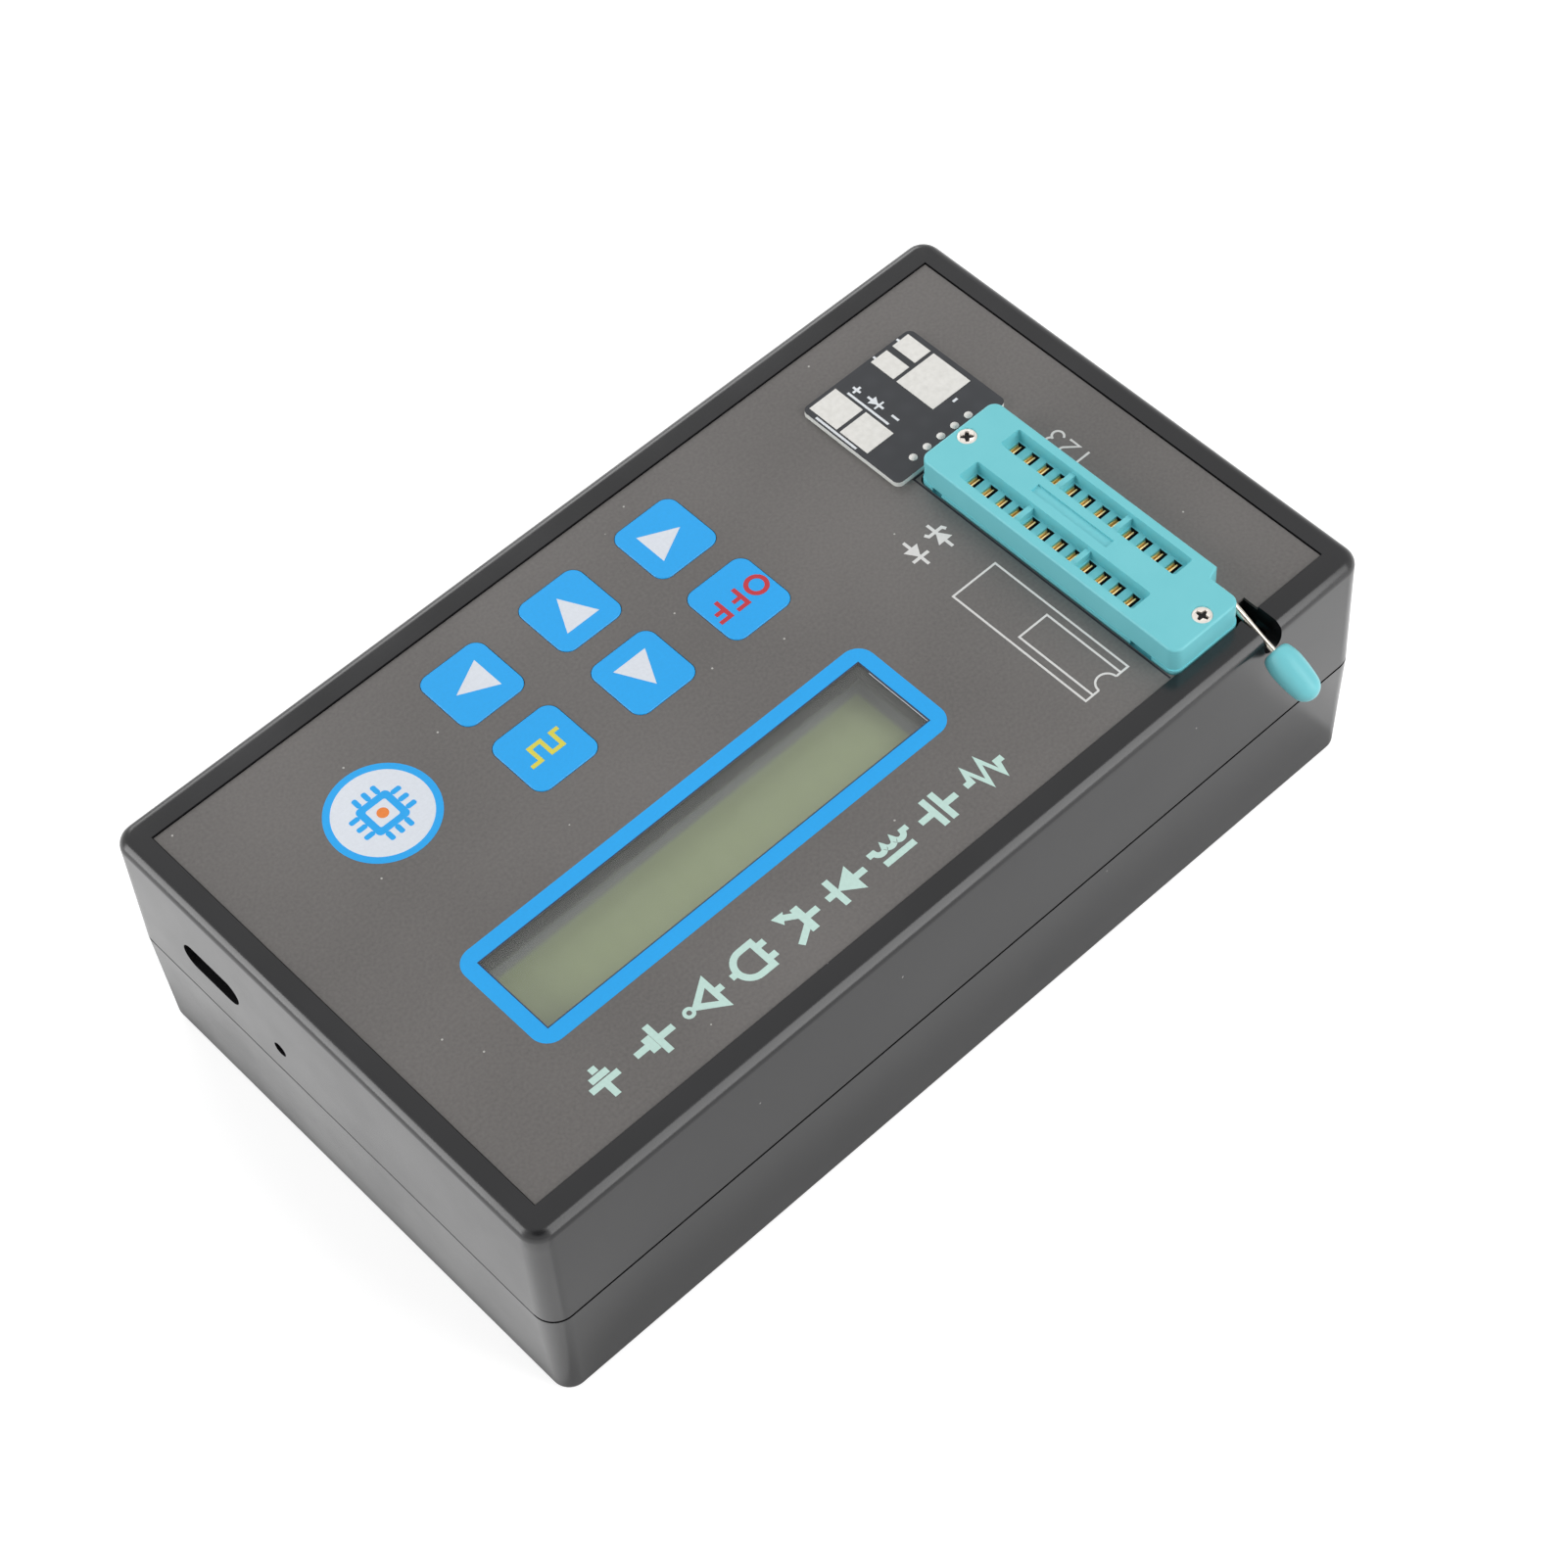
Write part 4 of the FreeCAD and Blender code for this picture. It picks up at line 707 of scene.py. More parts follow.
@cache
def grid_tree() -> Tree:
    """Tree that repeats a prototype on a grid of columns and rows.

    Returns:
        The tree, made on first use.
    """
    sockets = {"Prototype": "Object", "Start": "Vector", "Columns": "Int", "Column Step": "Vector"}
    sockets |= {"Rows": "Int", "Row Step": "Vector", "Turn Spread": "Float", "Seed": "Int"}
    tree = new_tree("grid_of_copies", sockets | {"Finish": "Material"})
    given = add(tree, "NodeGroupInput").outputs
    line = {"Count": given["Columns"], "Start Location": given["Start"], "Offset": given["Column Step"]}
    column = add(tree, "GeometryNodeMeshLine", line)
    row = add(tree, "GeometryNodeMeshLine", {"Count": given["Rows"], "Offset": given["Row Step"]})
    places = add(tree, "GeometryNodeInstanceOnPoints", {"Points": row, "Instance": column})
    points = add(tree, "GeometryNodeRealizeInstances", {0: places})
    spread = {2: 0.0, 3: given["Turn Spread"], 8: given["Seed"]}
    turn = add(tree, "FunctionNodeRandomValue", spread, data_type="FLOAT").outputs[1]
    prototype = add(tree, "GeometryNodeObjectInfo", {"Object": given["Prototype"]}).outputs["Geometry"]
    turns = add(tree, "ShaderNodeCombineXYZ", {2: turn})
    copy = {"Points": points, "Instance": prototype, "Rotation": turns}
    real = add(tree, "GeometryNodeRealizeInstances", {0: add(tree, "GeometryNodeInstanceOnPoints", copy)})
    dressed = add(tree, "GeometryNodeSetMaterial", {"Geometry": real, "Material": given["Finish"]})
    add(tree, "NodeGroupOutput", {0: dressed})
    return tree


@cache
def wire_tree() -> Tree:
    """Tree that draws a tapered round wire along a curve.

    Returns:
        The tree, made on first use.
    """
    sockets = {"Geometry": "Geometry", "Start Radius": "Float", "End Radius": "Float", "Taper From": "Float"}
    tree = new_tree("tapered_wire", sockets | {"Finish": "Material"})
    given = add(tree, "NodeGroupInput").outputs
    along = add(tree, "GeometryNodeResampleCurve", {"Curve": given["Geometry"], "Count": WIRE_RINGS})
    share = add(tree, "GeometryNodeSplineParameter").outputs["Factor"]
    taper = {0: share, 1: given["Taper From"], 3: given["Start Radius"], 4: given["End Radius"]}
    radius = add(tree, "ShaderNodeMapRange", taper)
    section = add(tree, "GeometryNodeCurvePrimitiveCircle", {"Resolution": WIRE_SIDES, "Radius": 1.0})
    sweep = {"Curve": along, "Profile Curve": section, "Scale": radius, "Fill Caps": True}
    real = add(tree, "GeometryNodeRealizeInstances", {0: add(tree, "GeometryNodeCurveToMesh", sweep)})
    dressed = add(tree, "GeometryNodeSetMaterial", {"Geometry": real, "Material": given["Finish"]})
    add(tree, "NodeGroupOutput", {0: dressed})
    return tree


def grown(holder: Thing, tree: Tree, values: dict[str, object]) -> Mesh:
    """Run a tree on an object and keep its result as a plain mesh.

    Args:
        holder: Object that carries the tree; it is removed afterwards.
        tree: Geometry tree.
        values: Named inputs of the tree.

    Returns:
        The resulting mesh.
    """
    modifier = holder.modifiers.new(tree.name, "NODES")
    modifier.node_group = tree
    for item in tree.interface.items_tree:
        if item.in_out == "INPUT" and item.name in values:
            modifier[item.identifier] = values[item.name]
    graph = bpy.context.evaluated_depsgraph_get()
    mesh = bpy.data.meshes.new_from_object(holder.evaluated_get(graph))
    holder.modifiers.remove(modifier)
    bpy.data.objects.remove(holder)
    return mesh


def repeated(
    prototype: Mesh,
    start: Place,
    columns: Repeat,
    rows: Repeat,
    finish: Finish,
    turn_spread: float = 0.0,
    seed: int = 7,
) -> Mesh:
    """Repeat a prototype mesh on a grid.

    Args:
        prototype: Mesh about the origin, in metres.
        start: First place, in millimetres.
        columns: Number of copies along a column, and the step in millimetres.
        rows: Number of columns, and the step in millimetres.
        finish: Finish of the copies.
        turn_spread: Largest turn of a copy about Z, in radians.
        seed: Seed of the turns.

    Returns:
        One mesh with all the copies.
    """
    pattern = put("prototype", prototype)
    holder = put("copies", bpy.data.meshes.new("copies"))
    values = {"Prototype": pattern, "Turn Spread": turn_spread, "Seed": seed, "Finish": finish.material()}
    values |= {"Start": [v * MM for v in start], "Columns": columns[0], "Rows": rows[0]}
    values |= {"Column Step": [v * MM for v in columns[1]], "Row Step": [v * MM for v in rows[1]]}
    mesh = grown(holder, grid_tree(), values)
    bpy.data.objects.remove(pattern)
    return mesh


def bevelled_bar(length: float, width: float, height: float, edge: float) -> Mesh:
    """Bar about the origin with softened edges.

    Args:
        length: Size along X in millimetres.
        width: Size along Y in millimetres.
        height: Size along Z in millimetres.
        edge: Width of the bevel in millimetres.

    Returns:
        A closed mesh in metres.
    """
    bm = bmesh.new()
    bmesh.ops.create_cube(bm, size=1.0)
    for vert in bm.verts:
        vert.co = Vector((vert.co.x * length * MM, vert.co.y * width * MM, vert.co.z * height * MM))
    bmesh.ops.bevel(bm, geom=bm.edges[:], offset=edge * MM, segments=2, affect="EDGES", profile=0.5)
    return kept(bm, "bar")


def turned(profile: list[Point], steps: int = 24) -> Mesh:
    """Solid of revolution about Z.

    Args:
        profile: Radius and height in millimetres, from the axis at the bottom to the axis at the top.
        steps: Number of faces round the axis.

    Returns:
        A closed mesh in metres.
    """
    bm = bmesh.new()
    rings = []
    for radius, height in profile:
        plan = ring(0, 0, radius, steps) if radius > 0 else [(0.0, 0.0)]
        rings.append([bm.verts.new((x * MM, y * MM, height * MM)) for x, y in plan])
    for low, high in zip(rings, rings[1:]):
        for i in range(steps):
            j = (i + 1) % steps
            corners = [low[i % len(low)], low[j % len(low)], high[j % len(high)], high[i % len(high)]]
            bm.faces.new(list(dict.fromkeys(corners)))
    bmesh.ops.recalc_face_normals(bm, faces=bm.faces)
    return kept(bm, "turned")


@dataclass
class CaseShells:
    """Two moulded half shells, the screws that hold them and the lip that closes their gap at one end."""

    lip: Place = (0.9, 74.6, 0.44)
    lip_edge: float = 0.03
    lip_place: Place = (70.86, 0.0, 19.625)

    def dress(self) -> None:
        """Give the shells and their screws their finishes."""
        dress(CASE_ABS, "top_shell", "bottom_shell")
        dress(ZINC_STEEL, "case_screws")

    def build(self) -> None:
        """Lay the lip into the gap between the shells along the end wall."""
        x, y, z = self.lip_place
        start = (x - self.lip[0] / 2, y, z)
        mesh = repeated(bevelled_bar(*self.lip, self.lip_edge), start, ONCE, ONCE, CASE_ABS)
        show("parting_lip", mesh, CASE_ABS)


@dataclass
class PanelFilm:
    """Printed panel film with its clear window, six key fields and the signs printed on it."""

    window: Four = (18.36, 12.78, 63.5, 12.9)
    frame_width: float = 2.3
    frame_radius: float = 2.6
    shadow_line_width: float = 0.15
    glint_width: float = 0.07
    glint_inset: float = 0.25
    glint_ends: Point = (2.2, 0.1)
    second_layer: float = 0.01
    badge_layer: float = 0.012
    keys: Four = (6.9, -18.95, 16.55, 14.1)
    off_size: float = 1.22
    badge: Place = (44.17, -18.8, 7.6)
    badge_ring: float = 0.98
    signs: Place = (-12.6, 29.6, 7.85)
    sign_line: float = 0.92
    line: float = 0.3
    guide: Four = (-29.2, -36.8, 31.0, 7.4)
    guide_notch: Point = (-33.1, 1.55)
    guide_short: Place = (-30.5, -35.5, 18.0)
    diodes: tuple[Point, Point] = ((-30.8, -1.0), (-35.0, -0.9))
    diode_size: float = 1.14
    diode_lines: Point = (0.4, 0.42)
    digit_place: Place = (-57.0, 3.2, 2.5)
    digit_size: float = 0.92
    digit_line: float = 0.36
    opening: Four = (-54.2, -39.2, -10.04, 36.02)
    opening_line: float = 0.26

    def dress(self) -> None:
        """Give the film, its window and the keys their finishes."""
        dress(FILM_GREY, "panel_overlay")
        dress(WINDOW_CLEAR, "lcd_window")
        for sign in KeySign:
            dress(FILM_BLUE, f"{sign.value}_key")
            dress(BLACK_NYLON, f"{sign.value}_plunger")
        dress(BLACK_NYLON, "switch_bodies")

    def build(self) -> None:
        """Print the frame, the badge, the signs and the key marks."""
        self.print_frame()
        self.print_badge()
        self.print_sign_row()
        self.print_socket_guide()
        self.paint_socket_gap_shadow()
        for sign in KeySign:
            self.print_key(sign)

    def print_film(self, name: str, shapes: list[Shape], ink: Finish, lift: float = 0.0) -> None:
        """Lay a print on the film.

        Args:
            name: Name of the piece.
            shapes: Outlines in millimetres.
            ink: Finish of the print.
            lift: Height above the first layer of ink, in millimetres.
        """
        mesh = slab(shapes, FILM_TOP - INK_ROOT + lift, FILM_TOP + INK + lift, name)
        show(name, mesh, ink)

    def print_frame(self) -> None:
        """Blue frame round the window, a painted shadow line at its inner edge and a painted highlight along
        the window's far cut edge.
        """
        x, y, length, width = self.window
        outer = rounded(x, y, length + 2 * self.frame_width, width + 2 * self.frame_width, self.frame_radius)
        left, right, low, high = x - length / 2, x + length / 2, y - width / 2, y + width / 2
        inner = [(left, low), (right, low), (right, high), (left, high)]
        self.print_film("window_frame_print", [[outer, inner]], INK_BLUE)
        # Painted shadow: a dark line along the window's inner edge.
        edge = stroke(inner, self.shadow_line_width, closed=True)
        self.print_film("window_edge_print", [edge], INK_SHADOW_NAVY, self.second_layer)
        # Painted highlight: a pale line just inside the window's far end, where its cut edge catches light.
        far_end = left + self.glint_inset
        glint_path = [(far_end, low + self.glint_ends[0]), (far_end, high - self.glint_ends[1])]
        self.print_film("window_cut_print", [stroke(glint_path, self.glint_width)], INK_WHITE, self.second_layer)

    def print_badge(self) -> None:
        """Round badge: blue ring, white ground and the sign of an integrated circuit."""
        x, y, radius = self.badge
        ground = ring(x, y, radius - self.badge_ring)
        self.print_film("badge_ring_print", [[ring(x, y, radius), ground]], INK_BLUE)
        self.print_film("badge_ground_print", [[ground]], INK_WHITE)
        chip: list[Shape] = [[rounded(0, 0, 5.2, 5.2, 0.7), rounded(0, 0, 3.2, 3.2, 0.3)]]
        for step in (-1.5, 0.0, 1.5):
            for turn in (0, 90, 180, 270):
                chip += placed([[rounded(3.35, step, 1.5, 0.75, 0.3)]], 0, 0, turn)
        self.print_film("badge_chip_print", placed(chip, x, y), INK_BLUE, self.badge_layer)
        dot = placed([[ring(0, 0, 0.8, 32)]], x, y)
        self.print_film("badge_mark_print", dot, INK_ORANGE, self.badge_layer)

    def component_signs(self) -> list[list[Shape]]:
        """Outlines of common circuit signs, each about 6 mm wide and up to 5 mm tall.

        Returns:
            One list of shapes for each sign, in the order of the row.
        """
        w = self.sign_line
        zigzag = [(-3.2, 0), (-2.2, 0), (-1.75, 1.8), (-0.6, -1.8)]
        zigzag += [(0.6, 1.8), (1.75, -1.8), (2.2, 0), (3.2, 0)]
        resistor = [stroke(zigzag, w)]
        plates = [[(-0.75, -2.4), (-0.75, 2.4)], [(0.75, -2.4), (0.75, 2.4)]]
        capacitor = strokes(plates + [[(-3.1, 0), (-0.75, 0)], [(0.75, 0), (3.1, 0)]], w)
        coil = [(-3.3, -0.9), (-2.4, -0.9)]
        for centre in (-1.6, 0.0, 1.6):
            coil += arc(centre, -0.9, 0.8, 180, 0, 12)[1:-1] + [(centre + 0.8, -0.9)]
        coil.append((3.3, -0.9))
        inductor = [stroke(coil, w * 0.9), stroke([(-2.5, 1.35), (2.5, 1.35)], w)]
        diode = [[[(-1.6, -2.2), (1.4, 0), (-1.6, 2.2)]]]
        diode += strokes([[(1.65, -2.2), (1.65, 2.2)], [(-3.2, 0), (-1.3, 0)], [(1.6, 0), (3.2, 0)]], w)
        legs = [[(-3.1, 0), (-0.9, 0)], [(-0.9, 0.7), (1.9, 2.5)], [(-0.9, -0.7), (1.0, -1.95)]]
        transistor = [stroke([(-0.9, -2.1), (-0.9, 2.1)], w * 1.2), *strokes(legs, w)]
        transistor.append([[(2.2, -2.7), (1.45, -1.0), (0.35, -2.6)]])
        outline = [(-1.7, -2.1), (0.2, -2.1)] + arc(0.2, 0, 2.1, -90, 90, 16)[1:] + [(-1.7, 2.1)]
        gate = [stroke(outline, w, closed=True)]
        gate += strokes([[(-3.1, 1.1), (-1.7, 1.1)], [(-3.1, -1.1), (-1.7, -1.1)], [(2.3, 0), (3.3, 0)]], w)
        inverter = [stroke([(-1.8, -2.1), (1.2, 0), (-1.8, 2.1)], w, closed=True)]
        inverter += [[ring(2.3, 0, 0.85, 28), ring(2.3, 0, 0.35, 28)], stroke([(-3.1, 0), (-1.7, 0)], w)]
        cell = [stroke([(-0.55, -2.4), (-0.55, 2.4)], w), stroke([(0.55, -1.2), (0.55, 1.2)], w * 1.3)]
        cell += strokes([[(-3.0, 0), (-0.55, 0)], [(0.55, 0), (3.0, 0)]], w)
        steps = ((2.2, 0.0), (1.35, -1.1), (0.5, -2.2))
        bars = [[(-reach, level), (reach, level)] for reach, level in steps]
        earth = strokes([[(0, 2.4), (0, 0)], *bars], w)
        return [resistor, capacitor, inductor, diode, transistor, gate, inverter, cell, earth]

    def print_sign_row(self) -> None:
        """Row of circuit signs along the far edge of the film."""
        x, y, pitch = self.signs
        shapes: list[Shape] = []
        for i, sign in enumerate(self.component_signs()):
            shapes += placed(sign, x + i * pitch, y)
        self.print_film("sign_row_print", shapes, INK_MINT)

    def print_socket_guide(self) -> None:
        """White guide beside the socket: package outlines, two diodes and the lead numbers."""
        right, left, front, back = self.guide
        near, far, short = self.guide_short
        middle, radius = self.guide_notch
        notch = arc(middle, front, radius, 0, -180, 16)
        package = [notch[0], (right, front), (right, back), (left, back), (left, front), notch[-1]]
        small = [(near, front), (near, short), (far, short), (far, front)]
        shapes = strokes([package, notch, small], self.line)
        lead, edge = self.diode_lines
        arrow: list[Shape] = [[[(-0.95, -1.05), (0.75, 0.0), (-0.95, 1.05)]]]
        arrow.append(stroke([(-2.1, 0.0), (2.1, 0.0)], lead))
        plain = [(0.75, -1.2), (0.75, 1.2)]
        hooked = [(0.25, -1.25), (0.75, -1.0), (0.75, 1.0), (1.25, 1.25)]
        for bar, place, turn in zip((plain, hooked), self.diodes, (90, -90)):
            shapes += placed(arrow + [stroke(bar, edge)], *place, turn, self.diode_size)
        x, y, step = self.digit_place
        for i, digit in enumerate(self.digits()):
            shapes += placed(digit, x, y - i * step, -90, self.digit_size)
        self.print_film("socket_guide_print", shapes, INK_PALE)

    def paint_socket_gap_shadow(self) -> None:
        """Painted shadow along the film's cut edge round the socket, on the two sides that lie open, where
        the gap to the socket lies in shade.
        """
        left, right, tail, nose = self.opening
        edge = [(left, tail), (right, tail), (right, nose)]
        # Painted shadow: a dark line where the gap between film and socket is in shade.
        self.print_film("opening_edge_print", [stroke(edge, self.opening_line)], INK_SHADOW_BLACK)

    def digits(self) -> list[list[Shape]]:
        """Outlines of 1, 2 and 3, each 3.4 mm tall about its centre.

        Returns:
            One list of shapes for each digit.
        """
        one = [[(-0.6, 1.1), (0.1, 1.6), (0.1, -1.7)]]
        two = [arc(0, 0.75, 0.85, 170, -35, 14) + [(-0.95, -1.5), (1.0, -1.5)]]
        three = [arc(0, 0.8, 0.8, 160, -70, 14), arc(0, -0.75, 0.9, 80, -160, 14)]
        return [strokes(lines, self.digit_line) for lines in (one, two, three)]

    def print_key(self, sign: KeySign) -> None:
        """Print the mark of one key.

        Args:
            sign: Which key it is.
        """
        x, y, pitch_x, pitch_y = self.keys
        column = {KeySign.LEFT: -1, KeySign.OFF: -1, KeySign.DOWN: 0, KeySign.UP: 0}.get(sign, 1)
        row = -1 if sign in (KeySign.LEFT, KeySign.DOWN, KeySign.RIGHT) else 1
        if sign is KeySign.OFF:
            letter_f = [stroke([(0.0, -1.35), (0.0, 1.35)], 0.52)]
            letter_f += strokes([[(-0.26, 1.1), (1.5, 1.1)], [(0.0, 0.0), (1.2, 0.0)]], 0.5)
            letter_o = [[ring(-2.55, 0.0, 1.4, 40), ring(-2.55, 0.0, 0.86, 40)]]
            word = letter_o + placed(letter_f, -0.35, 0.0) + placed(letter_f, 2.1, 0.0)
            shapes, ink = placed(word, 0.0, 0.0, size=self.off_size), INK_RED
        elif sign is KeySign.TEST:
            wave = [(-3.2, -1.2), (-2.0, -1.2), (-2.0, 1.2), (-0.2, 1.2)]
            wave += [(-0.2, -1.2), (1.6, -1.2), (1.6, 1.2), (3.2, 1.2)]
            shapes, ink = [stroke(wave, 0.6)], INK_YELLOW
        else:
            turns = {KeySign.RIGHT: 0, KeySign.UP: 90, KeySign.LEFT: 180, KeySign.DOWN: 270}
            shapes, ink = placed([[[(-2.65, -2.7), (2.6, 0.0), (-2.65, 2.7)]]], 0, 0, turns[sign]), INK_WHITE
        shapes = placed(shapes, x + column * pitch_x, y + row * pitch_y / 2)
        name = f"{sign.value}_key_print"
        mesh = slab(shapes, KEY_TOP - INK_ROOT, KEY_TOP + INK, name)
        show(name, mesh, ink, f"{sign.value}_button")


@dataclass
class DisplayModule:
    """Character display behind the window: glass in a folded bezel on its own board."""

    sight: Four = (18.36, 12.78, 65.0, 14.4)
    shade_band: Point = (1.7, 1.3)
    corners: Point = (0.1, 0.3)
    glass_top: float = 34.65

    def dress(self) -> None:
        """Give the display's pieces their finishes."""
        dress(LCD_GROUND, "lcd_glass")
        dress(OXIDE_STEEL, "lcd_bezel")
        dress(WHITE_NYLON, "lcd_backlight", "lcd_spacers")
        dress(MASK_GREEN, "lcd_board")
        dress(BLACK_NYLON, "lcd_header")
        dress(ZINC_STEEL, "lcd_screws", "lcd_nuts")

    def build(self) -> None:
        """Paint the shade band round the sight of the glass: a painted bezel shadow under a painted haze
        veil.
        """
        x, y, length, width = self.sight
        end, side = self.shade_band
        outer = rounded(x, y, length, width, self.corners[0])
        inner = rounded(x, y, length - 2 * end, width - 2 * side, self.corners[1])
        # Painted shade: a grey band along the glass's edges where the bezel shades it.
        mesh = slab([[outer, inner]], self.glass_top, self.glass_top + INK, "glass_border_print")
        show("glass_border_print", mesh, INK_PAINTED_SHADE)


@dataclass
class TestSocket:
    """Lever-operated test socket with its contacts, wire lever and moulded knob."""

    rows: Point = (-50.51, -42.89)
    first_pin: float = -2.54
    pitch: float = 2.54
    pins: int = 12
    finger_width: float = 2.1
    finger_shift: float = 0.12
    finger_slope: float = 0.12
    finger_sheet: float = 0.25
    finger_offset: float = -0.4
    leaf_offset: float = 0.42
    finger_foot: float = 35.7
    finger_tip: float = 42.64
    pocket: Place = (1.245, 0.695, 0.05)
    pocket_shift: float = 0.05
    leaf_rear: float = 0.23
    pocket_depths: Point = (41.2, 42.68)
    pivot: Place = (-52.7, 31.9, 41.85)
    shaft_end: float = -47.7
    shaft_radius: float = 0.6
    tip_radius: float = 0.38
    taper_from: float = 0.33
    bend: float = 0.9
    arm_stops: Point = (4.0, 8.0)
    reach: float = 11.6
    droop: float = 23.0
    cam: tuple[float, float, float, float, float] = (-49.8, 31.503, 41.546, 0.9, 1.2)
    cam_steps: int = 32
    screw_place: Place = (-46.7, -7.64, 44.43)
    screw_span: float = 41.84
    screw_head: float = 1.34
    screw_shank: float = 0.75
    screw_length: float = 8.7
    screw_turn: float = 1.2
    screw_seed: int = 4
    drive: Place = (0.86, 0.2, 0.4)
    drive_web: float = 0.12
    drive_rim: float = 0.2
    drive_lip: float = 0.07
    drive_corner: float = 1.0
    recess_shade_size: float = 0.05

    def dress(self) -> None:
        """Give the moulded and turned pieces their finishes."""
        dress(TEAL_NYLON, "socket_base", "socket_cover", "socket_slider", "lever_knob")
        dress(BLACK_NYLON, "socket_risers")

    def build(self) -> None:
        """Make the contact fingers, the screws and the wire lever."""
        self.build_contacts()
        self.build_screws()
        self.build_lever()

    def finger(self) -> Mesh:
        """One contact about its pin's centre: a bowed finger and a leaf on one foot, with flared lips.

        Returns:
            A closed mesh in metres.
        """
        half, sheet, leaf = self.finger_width / 2, self.finger_sheet, self.leaf_offset
        tip, foot = self.finger_tip, self.finger_foot + sheet / 2
        spine = [(leaf + 0.12, tip), (leaf + 0.05, tip - 0.2), (leaf - 0.03, tip - 0.5), (leaf, tip - 0.9)]
        spine += [(leaf, foot + 0.2), (leaf - 0.15, foot), (0.15, foot), (0.0, foot + 0.2)]
        spine += [(0.0, tip - 1.35), (0.03, tip - 0.95), (0.08, tip - 0.55), (0.02, tip - 0.2), (-0.08, tip)]
        outline = stroke(spine, sheet)[0]
        bm = bmesh.new()
        sides = []
        middle = (tip + foot) / 2
        for x, drop in ((-half, self.finger_slope), (half, 0.0)):
            points = [(y + self.finger_offset, z - drop if z > middle else z) for y, z in outline]
            sides.append([bm.verts.new((x * MM, y * MM, z * MM)) for y, z in points])
        count = len(outline)
        for i in range(count):
            j = (i + 1) % count
            bm.faces.new((sides[0][i], sides[0][j], sides[1][j], sides[1][i]))
        for loop in sides:
            for i in range(count // 2 - 1):
                bm.faces.new((loop[i], loop[i + 1], loop[count - 2 - i], loop[count - 1 - i]))
        bmesh.ops.recalc_face_normals(bm, faces=bm.faces)
        return kept(bm, "finger")

    def build_contacts(self) -> None:
        """Two rows of contact fingers in the pockets of the socket, and dark liners in the pockets that stand
        for the shade deep inside them: painted shade.
        """
        grid = ((self.pins, (0.0, self.pitch, 0.0)), (2, (self.rows[1] - self.rows[0], 0.0, 0.0)))
        start = (self.rows[0] + self.finger_shift, self.first_pin, 0.0)
        mesh = repeated(self.finger(), start, *grid, SPRING_BRASS)
        piece = show("contact_fingers", mesh, SPRING_BRASS, smooth=40)
        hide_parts("socket_contacts")
        # Painted shade: black sheets at the far end of each pocket and behind its leaf, where the deep pocket
        # lies in shade.
        back, side, wall = self.pocket
        rear = self.leaf_rear
        end = [(-back, -side), (wall - back, -side), (wall - back, side), (-back, side)]
        behind = [(wall - back, rear), (back, rear), (back, rear + wall), (wall - back, rear + wall)]
        shade_liner = slab([[end], [behind]], *self.pocket_depths, "shade_liner")
        start = (self.rows[0], self.first_pin + self.pocket_shift, 0.0)
        mesh = repeated(shade_liner, start, *grid, BLACK_NYLON)
        show("pocket_liners", mesh, BLACK_NYLON)

    def screw(self) -> Mesh:
        """One countersunk screw with a cross recess, its head's top at the origin.

        Returns:
            A closed mesh in metres.
        """
        head, shank, length = self.screw_head, self.screw_shank, self.screw_length
        arm, half, deep = self.drive
        web = half + self.drive_web
        quarter = [(arm, -half), (arm, half), (web, web)]
        cross = [point for turn in (0, 90, 180, 270) for point in placed([[quarter]], 0, 0, turn)[0][0]]
        bm = bmesh.new()
        bm.from_mesh(slab([[ring(0, 0, head, 40), cross]], -deep, 0.0, "screw_head"))
        rim = head - deep
        for vert in bm.verts:
            if vert.co.z < 0 and vert.co.xy.length > (arm + self.drive_rim) * MM:
                vert.co.xy *= rim / head
        rims = [e for e in bm.edges if all(v.co.z == 0 for v in e.verts)]
        lips = [e for e in rims if e.calc_face_angle() > self.drive_corner]
        bmesh.ops.bevel(bm, geom=lips, offset=self.drive_lip * MM, segments=2, affect="EDGES", profile=0.5)
        bm.from_mesh(turned([(0, -length), (shank, -length), (shank, -2 * deep), (rim, -deep), (0, -deep)]))
        return kept(bm, "screw")

    def build_screws(self) -> None:
        """The two screws that hold the cover, with a dark disc at the floor of their cross recesses: painted
        shade.
        """
        places = (self.screw_place, (2, (0.0, self.screw_span, 0.0)), ONCE)
        mesh = repeated(self.screw(), *places, NICKEL_SCREW, self.screw_turn, self.screw_seed)
        piece = show("cover_screws", mesh, NICKEL_SCREW, smooth=35)
        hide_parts("socket_screws")
        arm, _, deep = self.drive
        # Painted shade: a black oxide disc at the bottom of each cross recess, where the recess lies in
        # shade.
        floor = slab([[ring(0, 0, arm + self.recess_shade_size, 24)]], -deep, self.recess_shade_size - deep, "recess")
        mesh = repeated(floor, *places, OXIDE_STEEL)
        show("screw_recess_floors", mesh, OXIDE_STEEL)

    def wire(self) -> Mesh:
        """Shaft in the socket, a bend, and an arm that thins towards the knob.

        Returns:
            A closed mesh in metres.
        """
        px, py, pz = self.pivot
        slope = math.radians(self.droop)
        dy, dz = math.cos(slope), -math.sin(slope)
        route = [(self.shaft_end, py, pz), (px + self.bend, py, pz), (px, py, pz)]
        route += [(px, py + dy * d, pz + dz * d) for d in (self.bend, *self.arm_stops, self.reach)]
        curve = bpy.data.curves.new("lever_route", "CURVE")
        curve.dimensions = "3D"
        spline = curve.splines.new("NURBS")
        spline.points.add(len(route) - 1)
        for point, place in zip(spline.points, route):
            point.co = [v * MM for v in place] + [1.0]
        spline.order_u = 3
        spline.use_endpoint_u = True
        spline.resolution_u = 12
        values = {"Start Radius": self.shaft_radius * MM, "End Radius": self.tip_radius * MM}
        values |= {"Taper From": self.taper_from, "Finish": NICKEL_WIRE.material()}
        return grown(put("lever_route", curve), wire_tree(), values)

